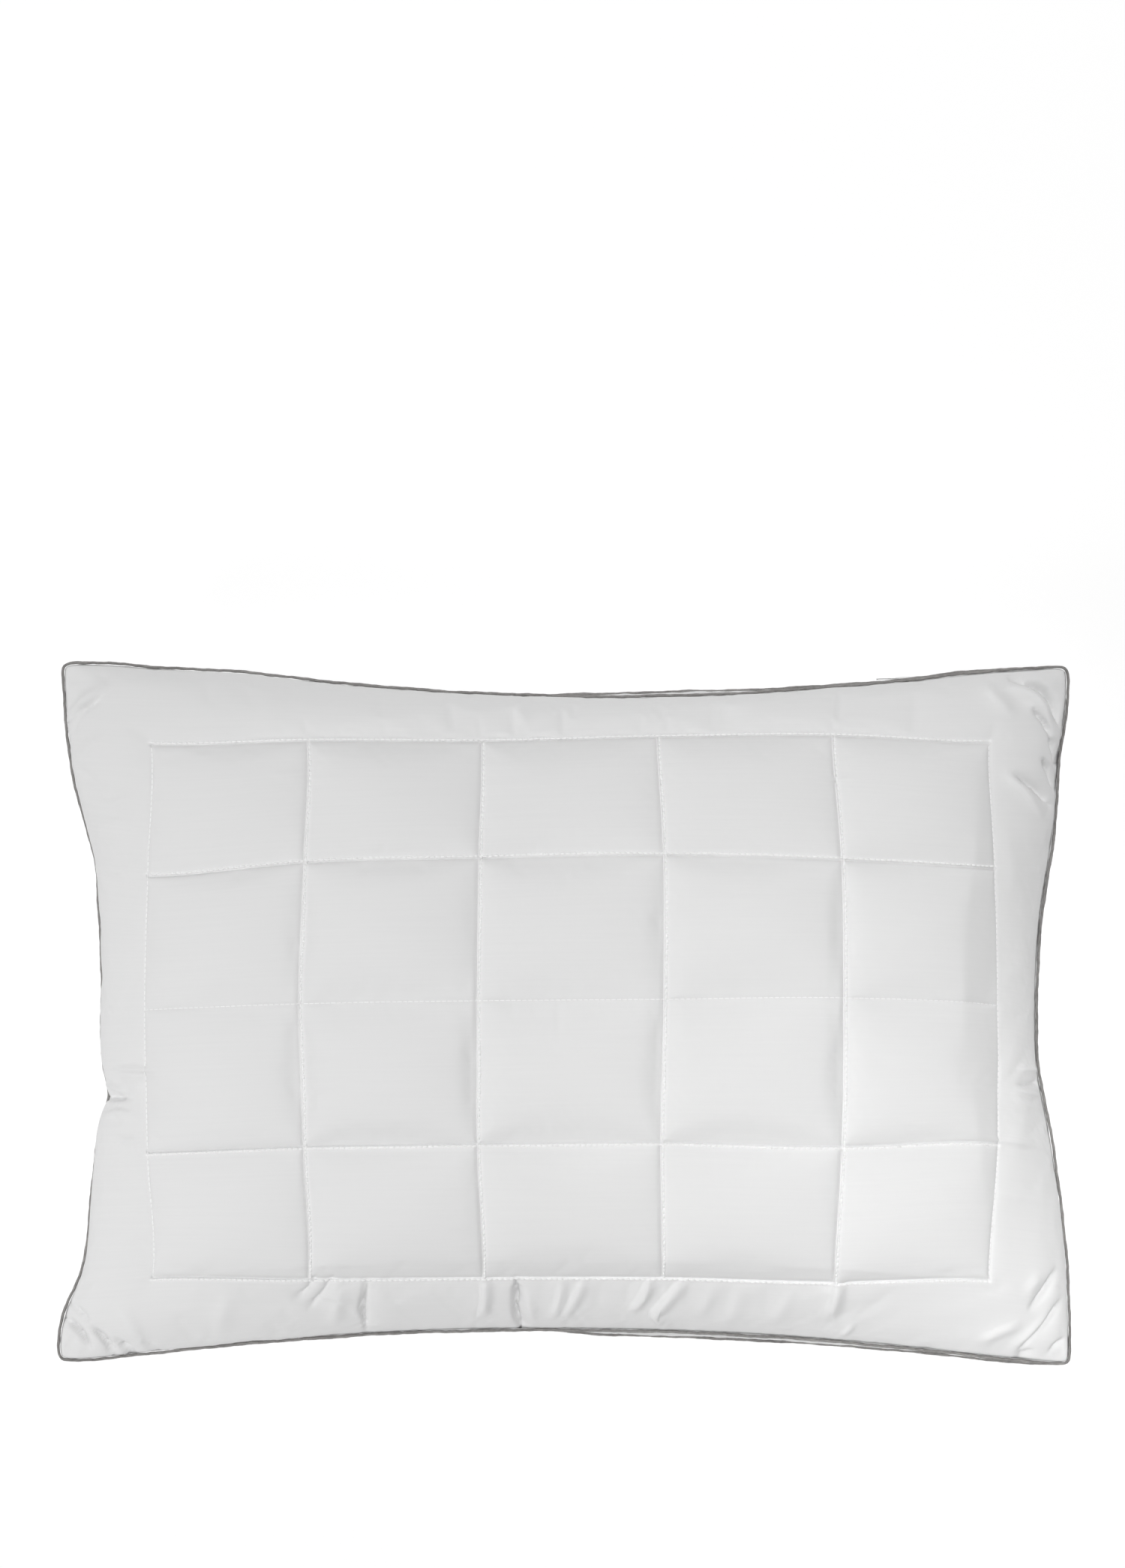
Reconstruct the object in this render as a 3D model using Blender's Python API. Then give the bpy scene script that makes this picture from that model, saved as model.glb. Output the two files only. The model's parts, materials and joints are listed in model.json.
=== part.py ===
"""A quilted, boxed bed pillow, filled and sewn shut, lying on its rear panel.

Metres, +Z up, +X along the long sides. The origin is under the pillow's middle, on the surface
that it lies on. Each panel is a sandwich of cover, wadding and lining, quilted in a grid inside a
sewn frame. A gusset band joins the two panels, and each seam holds a corded piping.
"""

import math
from collections import namedtuple

import bmesh
import bpy
import numpy as np
from mathutils import Vector

# The outline, over the piping. The filling draws each side in between its corners.
LENGTH = 0.690
WIDTH = 0.479
LONG_SIDE_DRAW_IN = 0.022
SHORT_SIDE_DRAW_IN = 0.024
CORNER_RADIUS = 0.012

# Heights. A crown is how far a panel's puffs stand off its own seam.
FRONT_CROWN = 0.070
REAR_CROWN = 0.056
GUSSET_HEIGHT = 0.024
REAR_SEAM = REAR_CROWN
FRONT_SEAM = REAR_SEAM + GUSSET_HEIGHT
FRONT_FULLNESS = 1.0
REAR_FULLNESS = 1.18  # over 1, so the surface that the pillow lies on flattens its middle

# Quilting: the sewn lines as they lie on the filled pillow.
COLUMN_LINES = (-0.289, -0.184, -0.062, 0.062, 0.184, 0.289)
ROW_LINES = (-0.184, -0.097, 0.0, 0.097, 0.184)
FRONT_VALLEY = 0.005
REAR_VALLEY = 0.004
BORDER_SHARES = (0.4, 0.75, 1.0)  # rows of points from the frame line out to the panel's edge
PUFF_MIDDLE = (0.5,)
PUFF_PLATEAU = (0.3, 0.7)  # a flat place in each cell of the rear panel

# Cloth and stuffing.
GAP = 0.0003
CLOTH = 0.0005
GUSSET_INSET = 0.0024  # from the outline to the gusset's outer face, at its fullest
GUSSET_TUCK = 0.0040  # the same at its two folds, where it turns in behind the beads
GUSSET_SHOULDER = 0.005  # how far from a fold it takes to fill out
WADDING_SEWN = 0.001
FILL_CLEARANCE = 0.001  # under the linings, whose facets differ from the filling's
PANEL_INSET = 0.0046  # from the outline to a panel's edge, behind the piping's bead
THREAD_RADIUS = 0.0004

# Piping: a strip folded round a cord, with a flange that goes into the seam.
BEAD_RADIUS = 0.0016
STRIP = 0.0004
CORD_RADIUS = 0.0008
SEAM_ALLOWANCE = 0.0072  # how far in from the outline the flange reaches
SEAM_INSET = 0.0057  # from the outline to the seam's thread
FLANGE_GAP = 0.00015  # half the gap between the flange's two layers
FLANGE = FLANGE_GAP + STRIP  # half the flange's whole thickness
EDGE_CLEARANCE = 0.002  # from a seam's middle to the panel above or below it
EDGE_RISE = EDGE_CLEARANCE + 2 * CLOTH + 2 * GAP + WADDING_SEWN
BULGE_ALONG, BULGE_ACROSS = 3, 2  # powers: the filled section is flatter along X than along Y

# Steps along each quarter of the outline, and round a bead's section.
SHORT_STEPS, CORNER_STEPS, LONG_STEPS = 4, 3, 5
BEAD_STEPS = 6

# The seam opening that was sewn shut after filling, and the label.
CLOSING_HALF_LENGTH = 0.115
CLOSING_HEIGHT = 0.006  # above the rear seam
LABEL_FROM, LABEL_TO = 0.215, 0.250
LABEL_DROP = 0.020
LABEL_INSET = 0.0037
LABEL_STEPS = 3

Station = namedtuple("Station", "place share sewn")
Panel = namedtuple("Panel", "name seam side crown valley fullness")
Surface = namedtuple("Surface", "plan rise sewn edge")

MATERIALS = {
    "cover_fabric": ((0.86, 0.86, 0.87), 0.75),
    "gusset_fabric": ((0.84, 0.84, 0.84), 0.80),
    "piping_fabric": ((0.30, 0.29, 0.28), 0.45),
    "piping_cord": ((0.80, 0.80, 0.78), 0.85),
    "wadding": ((0.90, 0.90, 0.90), 0.95),
    "lining": ((0.82, 0.83, 0.85), 0.85),
    "quilt_thread": ((0.88, 0.88, 0.88), 0.55),
    "seam_thread": ((0.80, 0.80, 0.80), 0.55),
    "fibre_fill": ((0.92, 0.92, 0.91), 0.95),
    "label_satin": ((0.88, 0.88, 0.86), 0.35),
}


def clear_scene():
    for obj in list(bpy.data.objects):
        bpy.data.objects.remove(obj, do_unlink=True)


def make_material(name):
    colour, roughness = MATERIALS[name]
    material = bpy.data.materials.new(name)
    material.use_nodes = True
    shader = material.node_tree.nodes["Principled BSDF"]
    shader.inputs["Base Color"].default_value = (*colour, 1.0)
    shader.inputs["Roughness"].default_value = roughness
    shader.inputs["Metallic"].default_value = 0.0
    return material


def add_solid(name, points, faces, material):
    """One object from a closed mesh, with its faces turned outwards."""
    mesh = bpy.data.meshes.new(name)
    work = bmesh.new()
    corners = [work.verts.new(point) for point in points]
    for face in faces:
        work.faces.new([corners[i] for i in face])
    bmesh.ops.recalc_face_normals(work, faces=work.faces)
    work.to_mesh(mesh)
    work.free()
    mesh.shade_smooth()
    mesh.set_sharp_from_angle(angle=math.radians(40))
    mesh.materials.append(bpy.data.materials[material])
    obj = bpy.data.objects.new(name, mesh)
    bpy.context.scene.collection.objects.link(obj)
    return obj


def spread(start, end, steps):
    return [start + (end - start) * i / steps for i in range(steps + 1)]


# --- the outline ------------------------------------------------------------------------------


def bow(t):
    """The share of the draw-in at t, which runs from -1 at one corner to 1 at the next."""
    return math.cos(math.pi * min(abs(t), 1) / 2) ** 2


def half_length(y):
    return LENGTH / 2 - SHORT_SIDE_DRAW_IN * bow(2 * y / WIDTH)


def half_width(x):
    return WIDTH / 2 - LONG_SIDE_DRAW_IN * bow(2 * x / LENGTH)


def outline():
    """Points anticlockwise round the outline, each with the direction that faces out there."""
    reach_x, reach_y = LENGTH / 2 - CORNER_RADIUS, WIDTH / 2 - CORNER_RADIUS
    short_side = [Vector((half_length(y), y)) for y in spread(0, reach_y, SHORT_STEPS)]
    middle = Vector((reach_x, reach_y))
    corner = [
        middle + CORNER_RADIUS * Vector((math.cos(turn), math.sin(turn)))
        for turn in spread(0, math.pi / 2, CORNER_STEPS)[1:-1]
    ]
    long_side = [Vector((x, half_width(x))) for x in spread(reach_x, 0, LONG_STEPS)]
    quarter = short_side + corner + long_side
    half = quarter + [Vector((-p.x, p.y)) for p in reversed(quarter[:-1])]
    ring = half + [Vector((p.x, -p.y)) for p in reversed(half[1:-1])]
    return [(p, facing(ring[i - 1], ring[(i + 1) % len(ring)])) for i, p in enumerate(ring)]


def facing(before, after):
    along = (after - before).normalized()
    return Vector((along.y, -along.x))


def sweep(path, section, closed):
    """Points and faces of a section carried along a path.

    Each point of the path is (place in plan, direction to the side, height), and each point of
    the section is (distance to the side, height).
    """
    points = [
        (place.x + side.x * out, place.y + side.y * out, height + up)
        for place, side, height in path
        for out, up in section
    ]
    count, around = len(path), len(section)
    faces = []
    for i in range(count if closed else count - 1):
        here, there = i * around, (i + 1) % count * around
        for j in range(around):
            k = (j + 1) % around
            faces.append((here + j, here + k, there + k, there + j))
    if not closed:
        faces.append(tuple(range(around)))
        faces.append(tuple((count - 1) * around + j for j in range(around)))
    return points, faces


def round_section(radius, sides, out=0.0, up=0.0):
    turns = [2 * math.pi * (i + 0.5) / sides for i in range(sides)]
    return [(out + radius * math.cos(turn), up + radius * math.sin(turn)) for turn in turns]


# --- the panels -------------------------------------------------------------------------------


def stations(lines, inside_cell):
    """The grid's places along one axis: the border, the sewn lines, and those inside a cell."""
    found = [Station(lines[0], share, False) for share in reversed(BORDER_SHARES)]
    for low, high in zip(lines, lines[1:]):
        found.append(Station(low, 0, True))
        found += [Station(low + (high - low) * share, 0, False) for share in inside_cell]
    found.append(Station(lines[-1], 0, True))
    found += [Station(lines[-1], share, False) for share in BORDER_SHARES]
    return found


def reach(station, edge):
    """Where a station lies when the panel's edge is that far from the middle."""
    return station.place + math.copysign(station.share * (edge - abs(station.place)), station.place)


def plan_of(column, row):
    x = reach(column, half_length(reach(row, WIDTH / 2)) - PANEL_INSET)
    y = reach(row, half_width(reach(column, LENGTH / 2)) - PANEL_INSET)
    if column.share == 1 and row.share == 1:
        cut_back = CORNER_RADIUS * (1 - math.cos(math.pi / 4))
        x -= math.copysign(cut_back, x)
        y -= math.copysign(cut_back, y)
    return x, y


def crown_at(x, y, fullness):
    """The share of the crown at a place: 0 at the panel's edge, and 1 where it is full."""
    along = min(1, abs(x) / (half_length(y) - PANEL_INSET))
    across = min(1, abs(y) / (half_width(x) - PANEL_INSET))
    share = math.sqrt((1 - along**BULGE_ALONG) * (1 - across**BULGE_ACROSS))
    return min(1, fullness * share)


def panel_surface(panel, inside_cell):
    """The panel's outer face over its grid: places in plan, rise off the seam, and what is sewn."""
    columns = stations(COLUMN_LINES, inside_cell)
    rows = stations(ROW_LINES, inside_cell)
    shape = (len(columns), len(rows))
    plan, rise = np.zeros((*shape, 2)), np.zeros(shape)
    sewn, edge = np.zeros(shape, bool), np.zeros(shape, bool)
    for i, column in enumerate(columns):
        for j, row in enumerate(rows):
            plan[i, j] = plan_of(column, row)
            edge[i, j] = column.share == 1 or row.share == 1
            sewn[i, j] = (column.sewn and not row.share) or (row.sewn and not column.share)
            crown = 0 if edge[i, j] else crown_at(*plan[i, j], panel.fullness)
            rise[i, j] = EDGE_RISE + (panel.crown - EDGE_RISE) * crown
            rise[i, j] -= panel.valley * sewn[i, j]
    return Surface(plan, rise, sewn, edge)


def sheet_faces(numbers, rise):
    """Triangles over a grid of point numbers, each quad split along its outward-standing diagonal."""
    faces = []
    for i in range(numbers.shape[0] - 1):
        for j in range(numbers.shape[1] - 1):
            a, b = numbers[i, j], numbers[i + 1, j]
            c, d = numbers[i + 1, j + 1], numbers[i, j + 1]
            if rise[i, j] + rise[i + 1, j + 1] > rise[i + 1, j] + rise[i, j + 1]:
                faces += [(a, b, c), (a, c, d)]
            else:
                faces += [(a, b, d), (b, c, d)]
    return faces


def rim(numbers):
    """The point numbers round a grid's edge."""
    last = slice(None, None, -1)
    return [
        *numbers[:-1, 0],
        *numbers[-1, :-1],
        *numbers[last, -1][:-1],
        *numbers[0, last][:-1],
    ]


def in_space(panel, surface, rise):
    heights = panel.seam + panel.side * rise
    return [(*place, z) for place, z in zip(surface.plan.reshape(-1, 2), heights.ravel())]


def add_layer(panel, surface, part, outer, inner, material):
    """One layer of the sandwich, between two rises over the same grid."""
    numbers = np.arange(surface.rise.size).reshape(surface.rise.shape)
    below = numbers + surface.rise.size
    faces = sheet_faces(numbers, surface.rise) + sheet_faces(below, surface.rise)
    outer_rim, inner_rim = rim(numbers), rim(below)
    for k, start in enumerate(outer_rim):
        faces.append((outer_rim[k - 1], start, inner_rim[k], inner_rim[k - 1]))
    points = in_space(panel, surface, outer) + in_space(panel, surface, inner)
    return add_solid(f"{panel.name}_{part}", points, faces, material)


def wadding_loft(panel, surface):
    """The wadding's thickness: squeezed where it is sewn, and full elsewhere."""
    return WADDING_SEWN + panel.valley * ~(surface.sewn | surface.edge)


def lining_rise(panel, surface):
    return surface.rise - CLOTH - GAP - wadding_loft(panel, surface) - GAP


def add_panel(panel, inside_cell):
    """The panel's cover, wadding and lining, from the outside in, and its quilting."""
    surface = panel_surface(panel, inside_cell)
    add_layer(panel, surface, "cover", surface.rise, surface.rise - CLOTH, "cover_fabric")
    top = surface.rise - CLOTH - GAP
    add_layer(panel, surface, "wadding", top, top - wadding_loft(panel, surface), "wadding")
    lining = lining_rise(panel, surface)
    add_layer(panel, surface, "lining", lining, lining - CLOTH, "lining")
    add_quilting(panel, surface)


def thread_path(panel, surface, picks, lift=0.0):
    """A thread's path over sewn points, each pick being (column, row, direction to the side)."""
    stand_off = GAP + THREAD_RADIUS + lift
    return [
        (
            Vector(surface.plan[i, j]),
            side,
            panel.seam + panel.side * (surface.rise[i, j] + stand_off),
        )
        for i, j, side in picks
    ]


def add_thread(name, path, closed):
    points, faces = sweep(path, round_section(THREAD_RADIUS, 4), closed)
    return add_solid(name, points, faces, "quilt_thread")


def add_quilting(panel, surface):
    """The frame's thread, then one thread along each row and each column inside it."""
    outer = len(BORDER_SHARES)
    last_i, last_j = (size - 1 - outer for size in surface.rise.shape)
    across, along = Vector((0, 1)), Vector((1, 0))
    inside_i, inside_j = range(outer, last_i + 1), range(outer, last_j + 1)

    frame = [(i, outer, -across) for i in inside_i[1:-1]]
    frame += [(last_i, outer, along - across)]
    frame += [(last_i, j, along) for j in inside_j[1:-1]]
    frame += [(last_i, last_j, along + across)]
    frame += [(i, last_j, across) for i in reversed(inside_i[1:-1])]
    frame += [(outer, last_j, across - along)]
    frame += [(outer, j, -along) for j in reversed(inside_j[1:-1])]
    frame += [(outer, outer, -along - across)]
    add_thread(f"{panel.name}_frame_thread", thread_path(panel, surface, frame), True)

    over_columns = 2 * THREAD_RADIUS + GAP
    rows = [j for j in inside_j[1:-1] if surface.sewn[outer + 1, j]]
    for number, j in enumerate(rows, 1):
        picks = [(i, j, across) for i in inside_i]
        path = thread_path(panel, surface, picks, over_columns)
        add_thread(f"{panel.name}_row_thread_{number}", stop_short(path), False)
    columns = [i for i in inside_i[1:-1] if surface.sewn[i, outer + 1]]
    for number, i in enumerate(columns, 1):
        picks = [(i, j, along) for j in inside_j]
        path = thread_path(panel, surface, picks)
        add_thread(f"{panel.name}_column_thread_{number}", stop_short(path), False)


def stop_short(path):
    """The path with its ends drawn back from the frame's thread."""
    short = 4 * THREAD_RADIUS
    for end, inner in ((0, 1), (-1, -2)):
        place, side, height = path[end]
        to_place, _, to_height = path[inner]
        share = short / (to_place - place).length
        path[end] = (place.lerp(to_place, share), side, height + (to_height - height) * share)
    return path


# --- the filling ------------------------------------------------------------------------------


def add_fibre_fill(front, rear):
    """The loose filling, up to both linings, and out to a ridge behind the gusset's middle."""
    surfaces = [panel_surface(panel, PUFF_MIDDLE) for panel in (front, rear)]
    shape = surfaces[0].rise.shape
    numbers = np.arange(surfaces[0].rise.size).reshape(shape)
    below = numbers + surfaces[0].rise.size
    ridge = surfaces[0].edge
    below[ridge] = numbers[ridge]
    points = []
    for panel, surface in zip((front, rear), surfaces):
        rise = lining_rise(panel, surface) - CLOTH - FILL_CLEARANCE
        rise[ridge] = -GUSSET_HEIGHT / 2
        points += in_space(panel, surface, rise)
    faces = sheet_faces(numbers, surfaces[0].rise) + sheet_faces(below, surfaces[1].rise)
    used = sorted({number for face in faces for number in face})
    renumber = {number: k for k, number in enumerate(used)}
    faces = [tuple(renumber[number] for number in face) for face in faces]
    return add_solid("fibre_fill", [points[number] for number in used], faces, "fibre_fill")


# --- the edge ---------------------------------------------------------------------------------


def piping_section():
    """The strip's outline: round the bead, and in along the flange's two layers."""
    middle = -BEAD_RADIUS
    inner = BEAD_RADIUS - STRIP
    outer_turn = math.pi - math.asin(FLANGE / BEAD_RADIUS)
    inner_turn = math.pi - math.asin(FLANGE_GAP / inner)
    outer_arc = [
        (middle + BEAD_RADIUS * math.cos(turn), BEAD_RADIUS * math.sin(turn))
        for turn in spread(outer_turn, -outer_turn, BEAD_STEPS)
    ]
    inner_arc = [
        (middle + inner * math.cos(turn), inner * math.sin(turn))
        for turn in spread(-inner_turn, inner_turn, BEAD_STEPS - 1)
    ]
    return [
        (-SEAM_ALLOWANCE, FLANGE),
        *outer_arc,
        (-SEAM_ALLOWANCE, -FLANGE),
        (-SEAM_ALLOWANCE, -FLANGE_GAP),
        *inner_arc,
        (-SEAM_ALLOWANCE, FLANGE_GAP),
    ]


def gusset_section():
    """The band's outline, from the rear seam's allowance round the outside to the front seam's."""
    low = FLANGE + GAP
    high = GUSSET_HEIGHT - low
    outside = [
        (-SEAM_ALLOWANCE, low),
        (-GUSSET_TUCK, low),
        (-GUSSET_INSET, low + GUSSET_SHOULDER),
        (-GUSSET_INSET, high - GUSSET_SHOULDER),
        (-GUSSET_TUCK, high),
        (-SEAM_ALLOWANCE, high),
    ]
    inside = [
        (-SEAM_ALLOWANCE, high - CLOTH),
        (-GUSSET_TUCK - CLOTH, high - CLOTH),
        (-GUSSET_INSET - CLOTH, high - GUSSET_SHOULDER),
        (-GUSSET_INSET - CLOTH, low + GUSSET_SHOULDER),
        (-GUSSET_TUCK - CLOTH, low + CLOTH),
        (-SEAM_ALLOWANCE, low + CLOTH),
    ]
    return outside + inside


def add_ring(name, ring, height, section, material):
    path = [(place, side, height) for place, side in ring]
    points, faces = sweep(path, section, True)
    return add_solid(name, points, faces, material)


def add_seam(panel, ring):
    """The seam's piping strip, its cord, and the thread that goes through the seam."""
    add_ring(f"{panel.name}_piping_cover", ring, panel.seam, piping_section(), "piping_fabric")
    cord = round_section(CORD_RADIUS, 6, out=-BEAD_RADIUS)
    add_ring(f"{panel.name}_piping_cord", ring, panel.seam, cord, "piping_cord")
    stand_off = panel.side * (FLANGE + GAP + THREAD_RADIUS)
    thread = round_section(THREAD_RADIUS, 4, out=-SEAM_INSET, up=stand_off)
    add_ring(f"{panel.name}_seam_thread", ring, panel.seam, thread, "seam_thread")


def add_closing_seam(ring):
    """The thread down the -X side that closes the opening the filling went in by."""
    section = round_section(THREAD_RADIUS, 4, out=GAP + THREAD_RADIUS - GUSSET_INSET)
    path = [
        (place, side, REAR_SEAM + CLOSING_HEIGHT)
        for place, side in ring
        if side.x < 0 and abs(place.y) < CLOSING_HALF_LENGTH
    ]
    points, faces = sweep(path, section, False)
    return add_solid("closing_seam_thread", points, faces, "seam_thread")


def add_care_label():
    """A blank tab that hangs from the rear seam on the +Y side."""
    top = -FLANGE - GAP
    tab = [(0, top), (0, top - LABEL_DROP), (-STRIP, top - LABEL_DROP), (-STRIP, top)]
    path = []
    for x in spread(LABEL_FROM, LABEL_TO, LABEL_STEPS):
        place = Vector((x, half_width(x) - LABEL_INSET + STRIP / 2))
        path.append((place, Vector((0, 1)), REAR_SEAM))
    points, faces = sweep(path, tab, False)
    return add_solid("care_label", points, faces, "label_satin")


def main():
    clear_scene()
    for name in MATERIALS:
        make_material(name)
    front = Panel("front", FRONT_SEAM, 1, FRONT_CROWN, FRONT_VALLEY, FRONT_FULLNESS)
    rear = Panel("rear", REAR_SEAM, -1, REAR_CROWN, REAR_VALLEY, REAR_FULLNESS)
    ring = outline()
    add_panel(front, PUFF_MIDDLE)
    add_panel(rear, PUFF_PLATEAU)
    add_fibre_fill(front, rear)
    add_ring("gusset_band", ring, REAR_SEAM, gusset_section(), "gusset_fabric")
    for panel in (front, rear):
        add_seam(panel, ring)
    add_closing_seam(ring)
    add_care_label()


main()
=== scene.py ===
"""A white quilted bed pillow: two quilted panels, two grey pipings, a gusset, its sewing and a care label.

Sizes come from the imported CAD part. Each panel is laid out on its seam ring, settled by Blender's Cloth,
and then given its sewn valleys, folds and stitches. Lengths are in metres.
"""

import json
import math

import bpy
import numpy as np
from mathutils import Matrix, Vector

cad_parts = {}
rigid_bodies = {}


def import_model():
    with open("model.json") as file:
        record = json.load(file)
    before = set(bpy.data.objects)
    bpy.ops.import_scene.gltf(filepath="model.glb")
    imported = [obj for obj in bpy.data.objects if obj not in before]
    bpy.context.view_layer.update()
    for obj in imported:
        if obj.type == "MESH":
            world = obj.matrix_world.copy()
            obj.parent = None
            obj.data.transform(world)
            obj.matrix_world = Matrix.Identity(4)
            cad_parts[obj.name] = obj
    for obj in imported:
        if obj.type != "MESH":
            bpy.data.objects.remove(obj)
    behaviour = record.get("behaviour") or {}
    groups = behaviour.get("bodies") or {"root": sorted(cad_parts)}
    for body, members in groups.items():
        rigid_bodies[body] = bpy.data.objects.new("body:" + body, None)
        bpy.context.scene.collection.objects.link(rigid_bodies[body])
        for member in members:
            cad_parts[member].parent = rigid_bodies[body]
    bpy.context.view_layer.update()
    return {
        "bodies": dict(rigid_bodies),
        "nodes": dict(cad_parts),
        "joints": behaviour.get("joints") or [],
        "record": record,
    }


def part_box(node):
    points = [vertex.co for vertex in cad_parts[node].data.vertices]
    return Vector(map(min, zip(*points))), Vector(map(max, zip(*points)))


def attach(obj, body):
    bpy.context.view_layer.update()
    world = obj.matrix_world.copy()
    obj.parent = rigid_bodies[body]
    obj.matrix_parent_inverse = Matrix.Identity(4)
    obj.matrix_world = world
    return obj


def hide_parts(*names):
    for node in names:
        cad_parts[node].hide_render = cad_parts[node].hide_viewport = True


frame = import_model()
MM = 0.001
UP = (0, 0, 1)

# ---------------------------------------------------------------- sizes, from the CAD part


def reach(node, axis, along, band):
    """How far a node reaches along an axis, on its low and high side, within a band about the middle."""
    points = np.array([v.co for v in frame["nodes"][node].data.vertices])
    points = points[abs(points[:, along]) < band]
    return -points[:, axis].min(), points[:, axis].max()


def middle(node, axis):
    """The middle of a node's box along an axis."""
    low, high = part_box(node)
    return (low[axis] + high[axis]) / 2


HALF_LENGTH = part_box("front_piping_cover")[1].x
HALF_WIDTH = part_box("front_piping_cover")[1].y
FRONT_SEAM = middle("front_piping_cover", 2)
REAR_SEAM = middle("rear_piping_cover", 2)
BEAD = FRONT_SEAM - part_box("front_piping_cover")[0].z
FRONT_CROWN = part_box("front_cover")[1].z - FRONT_SEAM
REAR_CROWN = REAR_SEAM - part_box("rear_cover")[0].z
LONG_DRAW = HALF_WIDTH - reach("front_piping_cover", 1, 0, 0.03)[1]
SHORT_DRAW = HALF_LENGTH - reach("front_piping_cover", 0, 1, 0.03)[1]

COLUMN_NODES = [f"column_thread_{n}" for n in (1, 2, 3, 4)]
ROW_NODES = [f"row_thread_{n}" for n in (1, 2, 3)]
FRAME_LOW, FRAME_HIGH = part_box("front_frame_thread")
COLUMNS = [FRAME_LOW.x, *sorted(middle("front_" + n, 0) for n in COLUMN_NODES), FRAME_HIGH.x]
ROWS = [FRAME_LOW.y, *sorted(middle("front_" + n, 1) for n in ROW_NODES), FRAME_HIGH.y]

# ---------------------------------------------------------------- how the sewn pillow departs from the plan

# Draw-in of each side, as (place along the half side, share of the CAD part's draw-in).
BOTTOM_DRAW = [
    (-1, 0), (-0.94, 0.03), (-0.82, 0.25), (-0.52, 0.71), (-0.22, 0.98), (0, 1.02), (0.37, 0.87),
    (0.66, 0.53), (0.9, 0.14), (1, 0.02),
]
TOP_DRAW = [
    (-1, 0), (-0.9, 0.02), (-0.82, 0.12), (-0.67, 0.24), (-0.37, 0.71), (-0.2, 0.88), (0.15, 0.98),
    (0.4, 0.82), (0.66, 0.48), (0.93, 0.05), (1, 0),
]
LEFT_DRAW = [
    (-1, 0), (-0.93, -0.01), (-0.85, 0.16), (-0.74, 0.62), (-0.53, 0.9), (-0.38, 1.05), (-0.31, 1.15),
    (-0.24, 1.41), (-0.16, 1.25), (0.11, 1.17), (0.3, 1.08), (0.43, 0.97), (0.54, 0.67), (0.64, 0.4),
    (0.86, 0.08), (1, 0),
]
RIGHT_DRAW = [
    (-1, 0.02), (-0.85, 0.03), (-0.74, 0.08), (-0.32, 0.57), (-0.17, 0.86), (0.05, 0.93), (0.25, 0.82),
    (0.54, 0.4), (0.75, 0.23), (0.88, 0.03), (1, 0),
]
# The ring's corners, as shares of the half length and half width.
CORNERS = {"bl": (-0.999, -0.987), "br": (1.0, -1.0), "tr": (0.994, 0.992), "tl": (-0.993, 1.002)}
CORNER_SOFTNESS = 6 * MM

# How far the rear piping stands outside the front one, in millimetres, at places along each side.
BOTTOM_PEEK = [
    (-1, 0), (-0.8, -0.5), (-0.7, 0.8), (-0.62, 2.2), (-0.5, 0.6), (-0.4, 0), (-0.22, 1.6), (-0.1, 1.2),
    (-0.06, 0.4), (0.03, 3.2), (0.2, 4.4), (0.45, 4.2), (0.6, 3.6), (0.8, 3.2), (0.93, 2.6), (1, 0.8),
]
TOP_PEEK = [
    (-1, -0.8), (-0.5, -0.8), (-0.37, 0.6), (-0.27, 1.8), (-0.16, 0.8), (-0.12, -0.3), (-0.02, 2.2),
    (0.2, 4.0), (0.45, 2.8), (0.65, 2.0), (0.8, 2.6), (0.92, 1.2), (1, -0.5),
]
LEFT_PEEK = [(-1, 0), (-0.8, -0.6), (0, -1.2), (0.6, -0.8), (1, -0.8)]
RIGHT_PEEK = [
    (-1, 0.6), (-0.85, -0.2), (-0.4, -0.2), (-0.15, 1.2), (0.1, 2.6), (0.55, 2.6), (0.8, 1.0), (1, -0.5),
]

# How far the front panel leans out over its piping, in millimetres.
LEFT_BULGE = [
    (-1, 3), (-0.83, 3.0), (-0.76, 3.9), (-0.5, 4.3), (0, 4.4), (0.35, 4.3), (0.5, 4.1), (0.6, 3.8), (1, 3),
]
PLAIN_BULGE = [(-1, 3), (-0.8, 3.8), (-0.3, 4.2), (0.2, 3.8), (0.8, 3.6), (1, 3)]

# How far each sewn line wanders from its straight place, in millimetres. Columns go from the frame's
# bottom to its top, at each row; rows go from the frame's left to its right, at each column.
COLUMN_DRIFT = [
    (12, 9, 7, 9, 11),
    (12, 10, 7, 10, 11),
    (7, 4, 4, 5, 6),
    (3, 2, 4, 4, 0),
    (-3, 1, 2, 1, -4),
    (-4, 2, 1, 0, -4),
]
ROW_DRIFT = [
    (7, 7, 8, 8, 5, 6),
    (4, 9, 11, 12, 9, 10),
    (3, 7, 9, 10, 11, 6),
    (-4, 4, 7, 9, 6, 1),
    (-3, -1, -1, 2, 3, -2),
]

# How far each quilted cell swells, in millimetres, from the bottom row to the top one.
FRONT_PUFF = [
    (3.0, 4.5, 2.0, 3.0, 3.0),
    (4.0, 5.5, 2.5, 4.0, 4.0),
    (4.0, 5.0, 3.0, 4.0, 3.0),
    (3.0, 3.5, 2.0, 2.5, 3.0),
]
REAR_PUFF = [(3.0,) * 5] * 4

FACING = {"front": 1, "rear": -1}  # along +Z or -Z
SEAMS = {"front": FRONT_SEAM, "rear": REAR_SEAM}
SEEDS = {"front": {"seam": 3, "lumps": 11, "needle": 100}, "rear": {"seam": 5, "lumps": 12, "needle": 200}}

# ---------------------------------------------------------------- small tools


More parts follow.
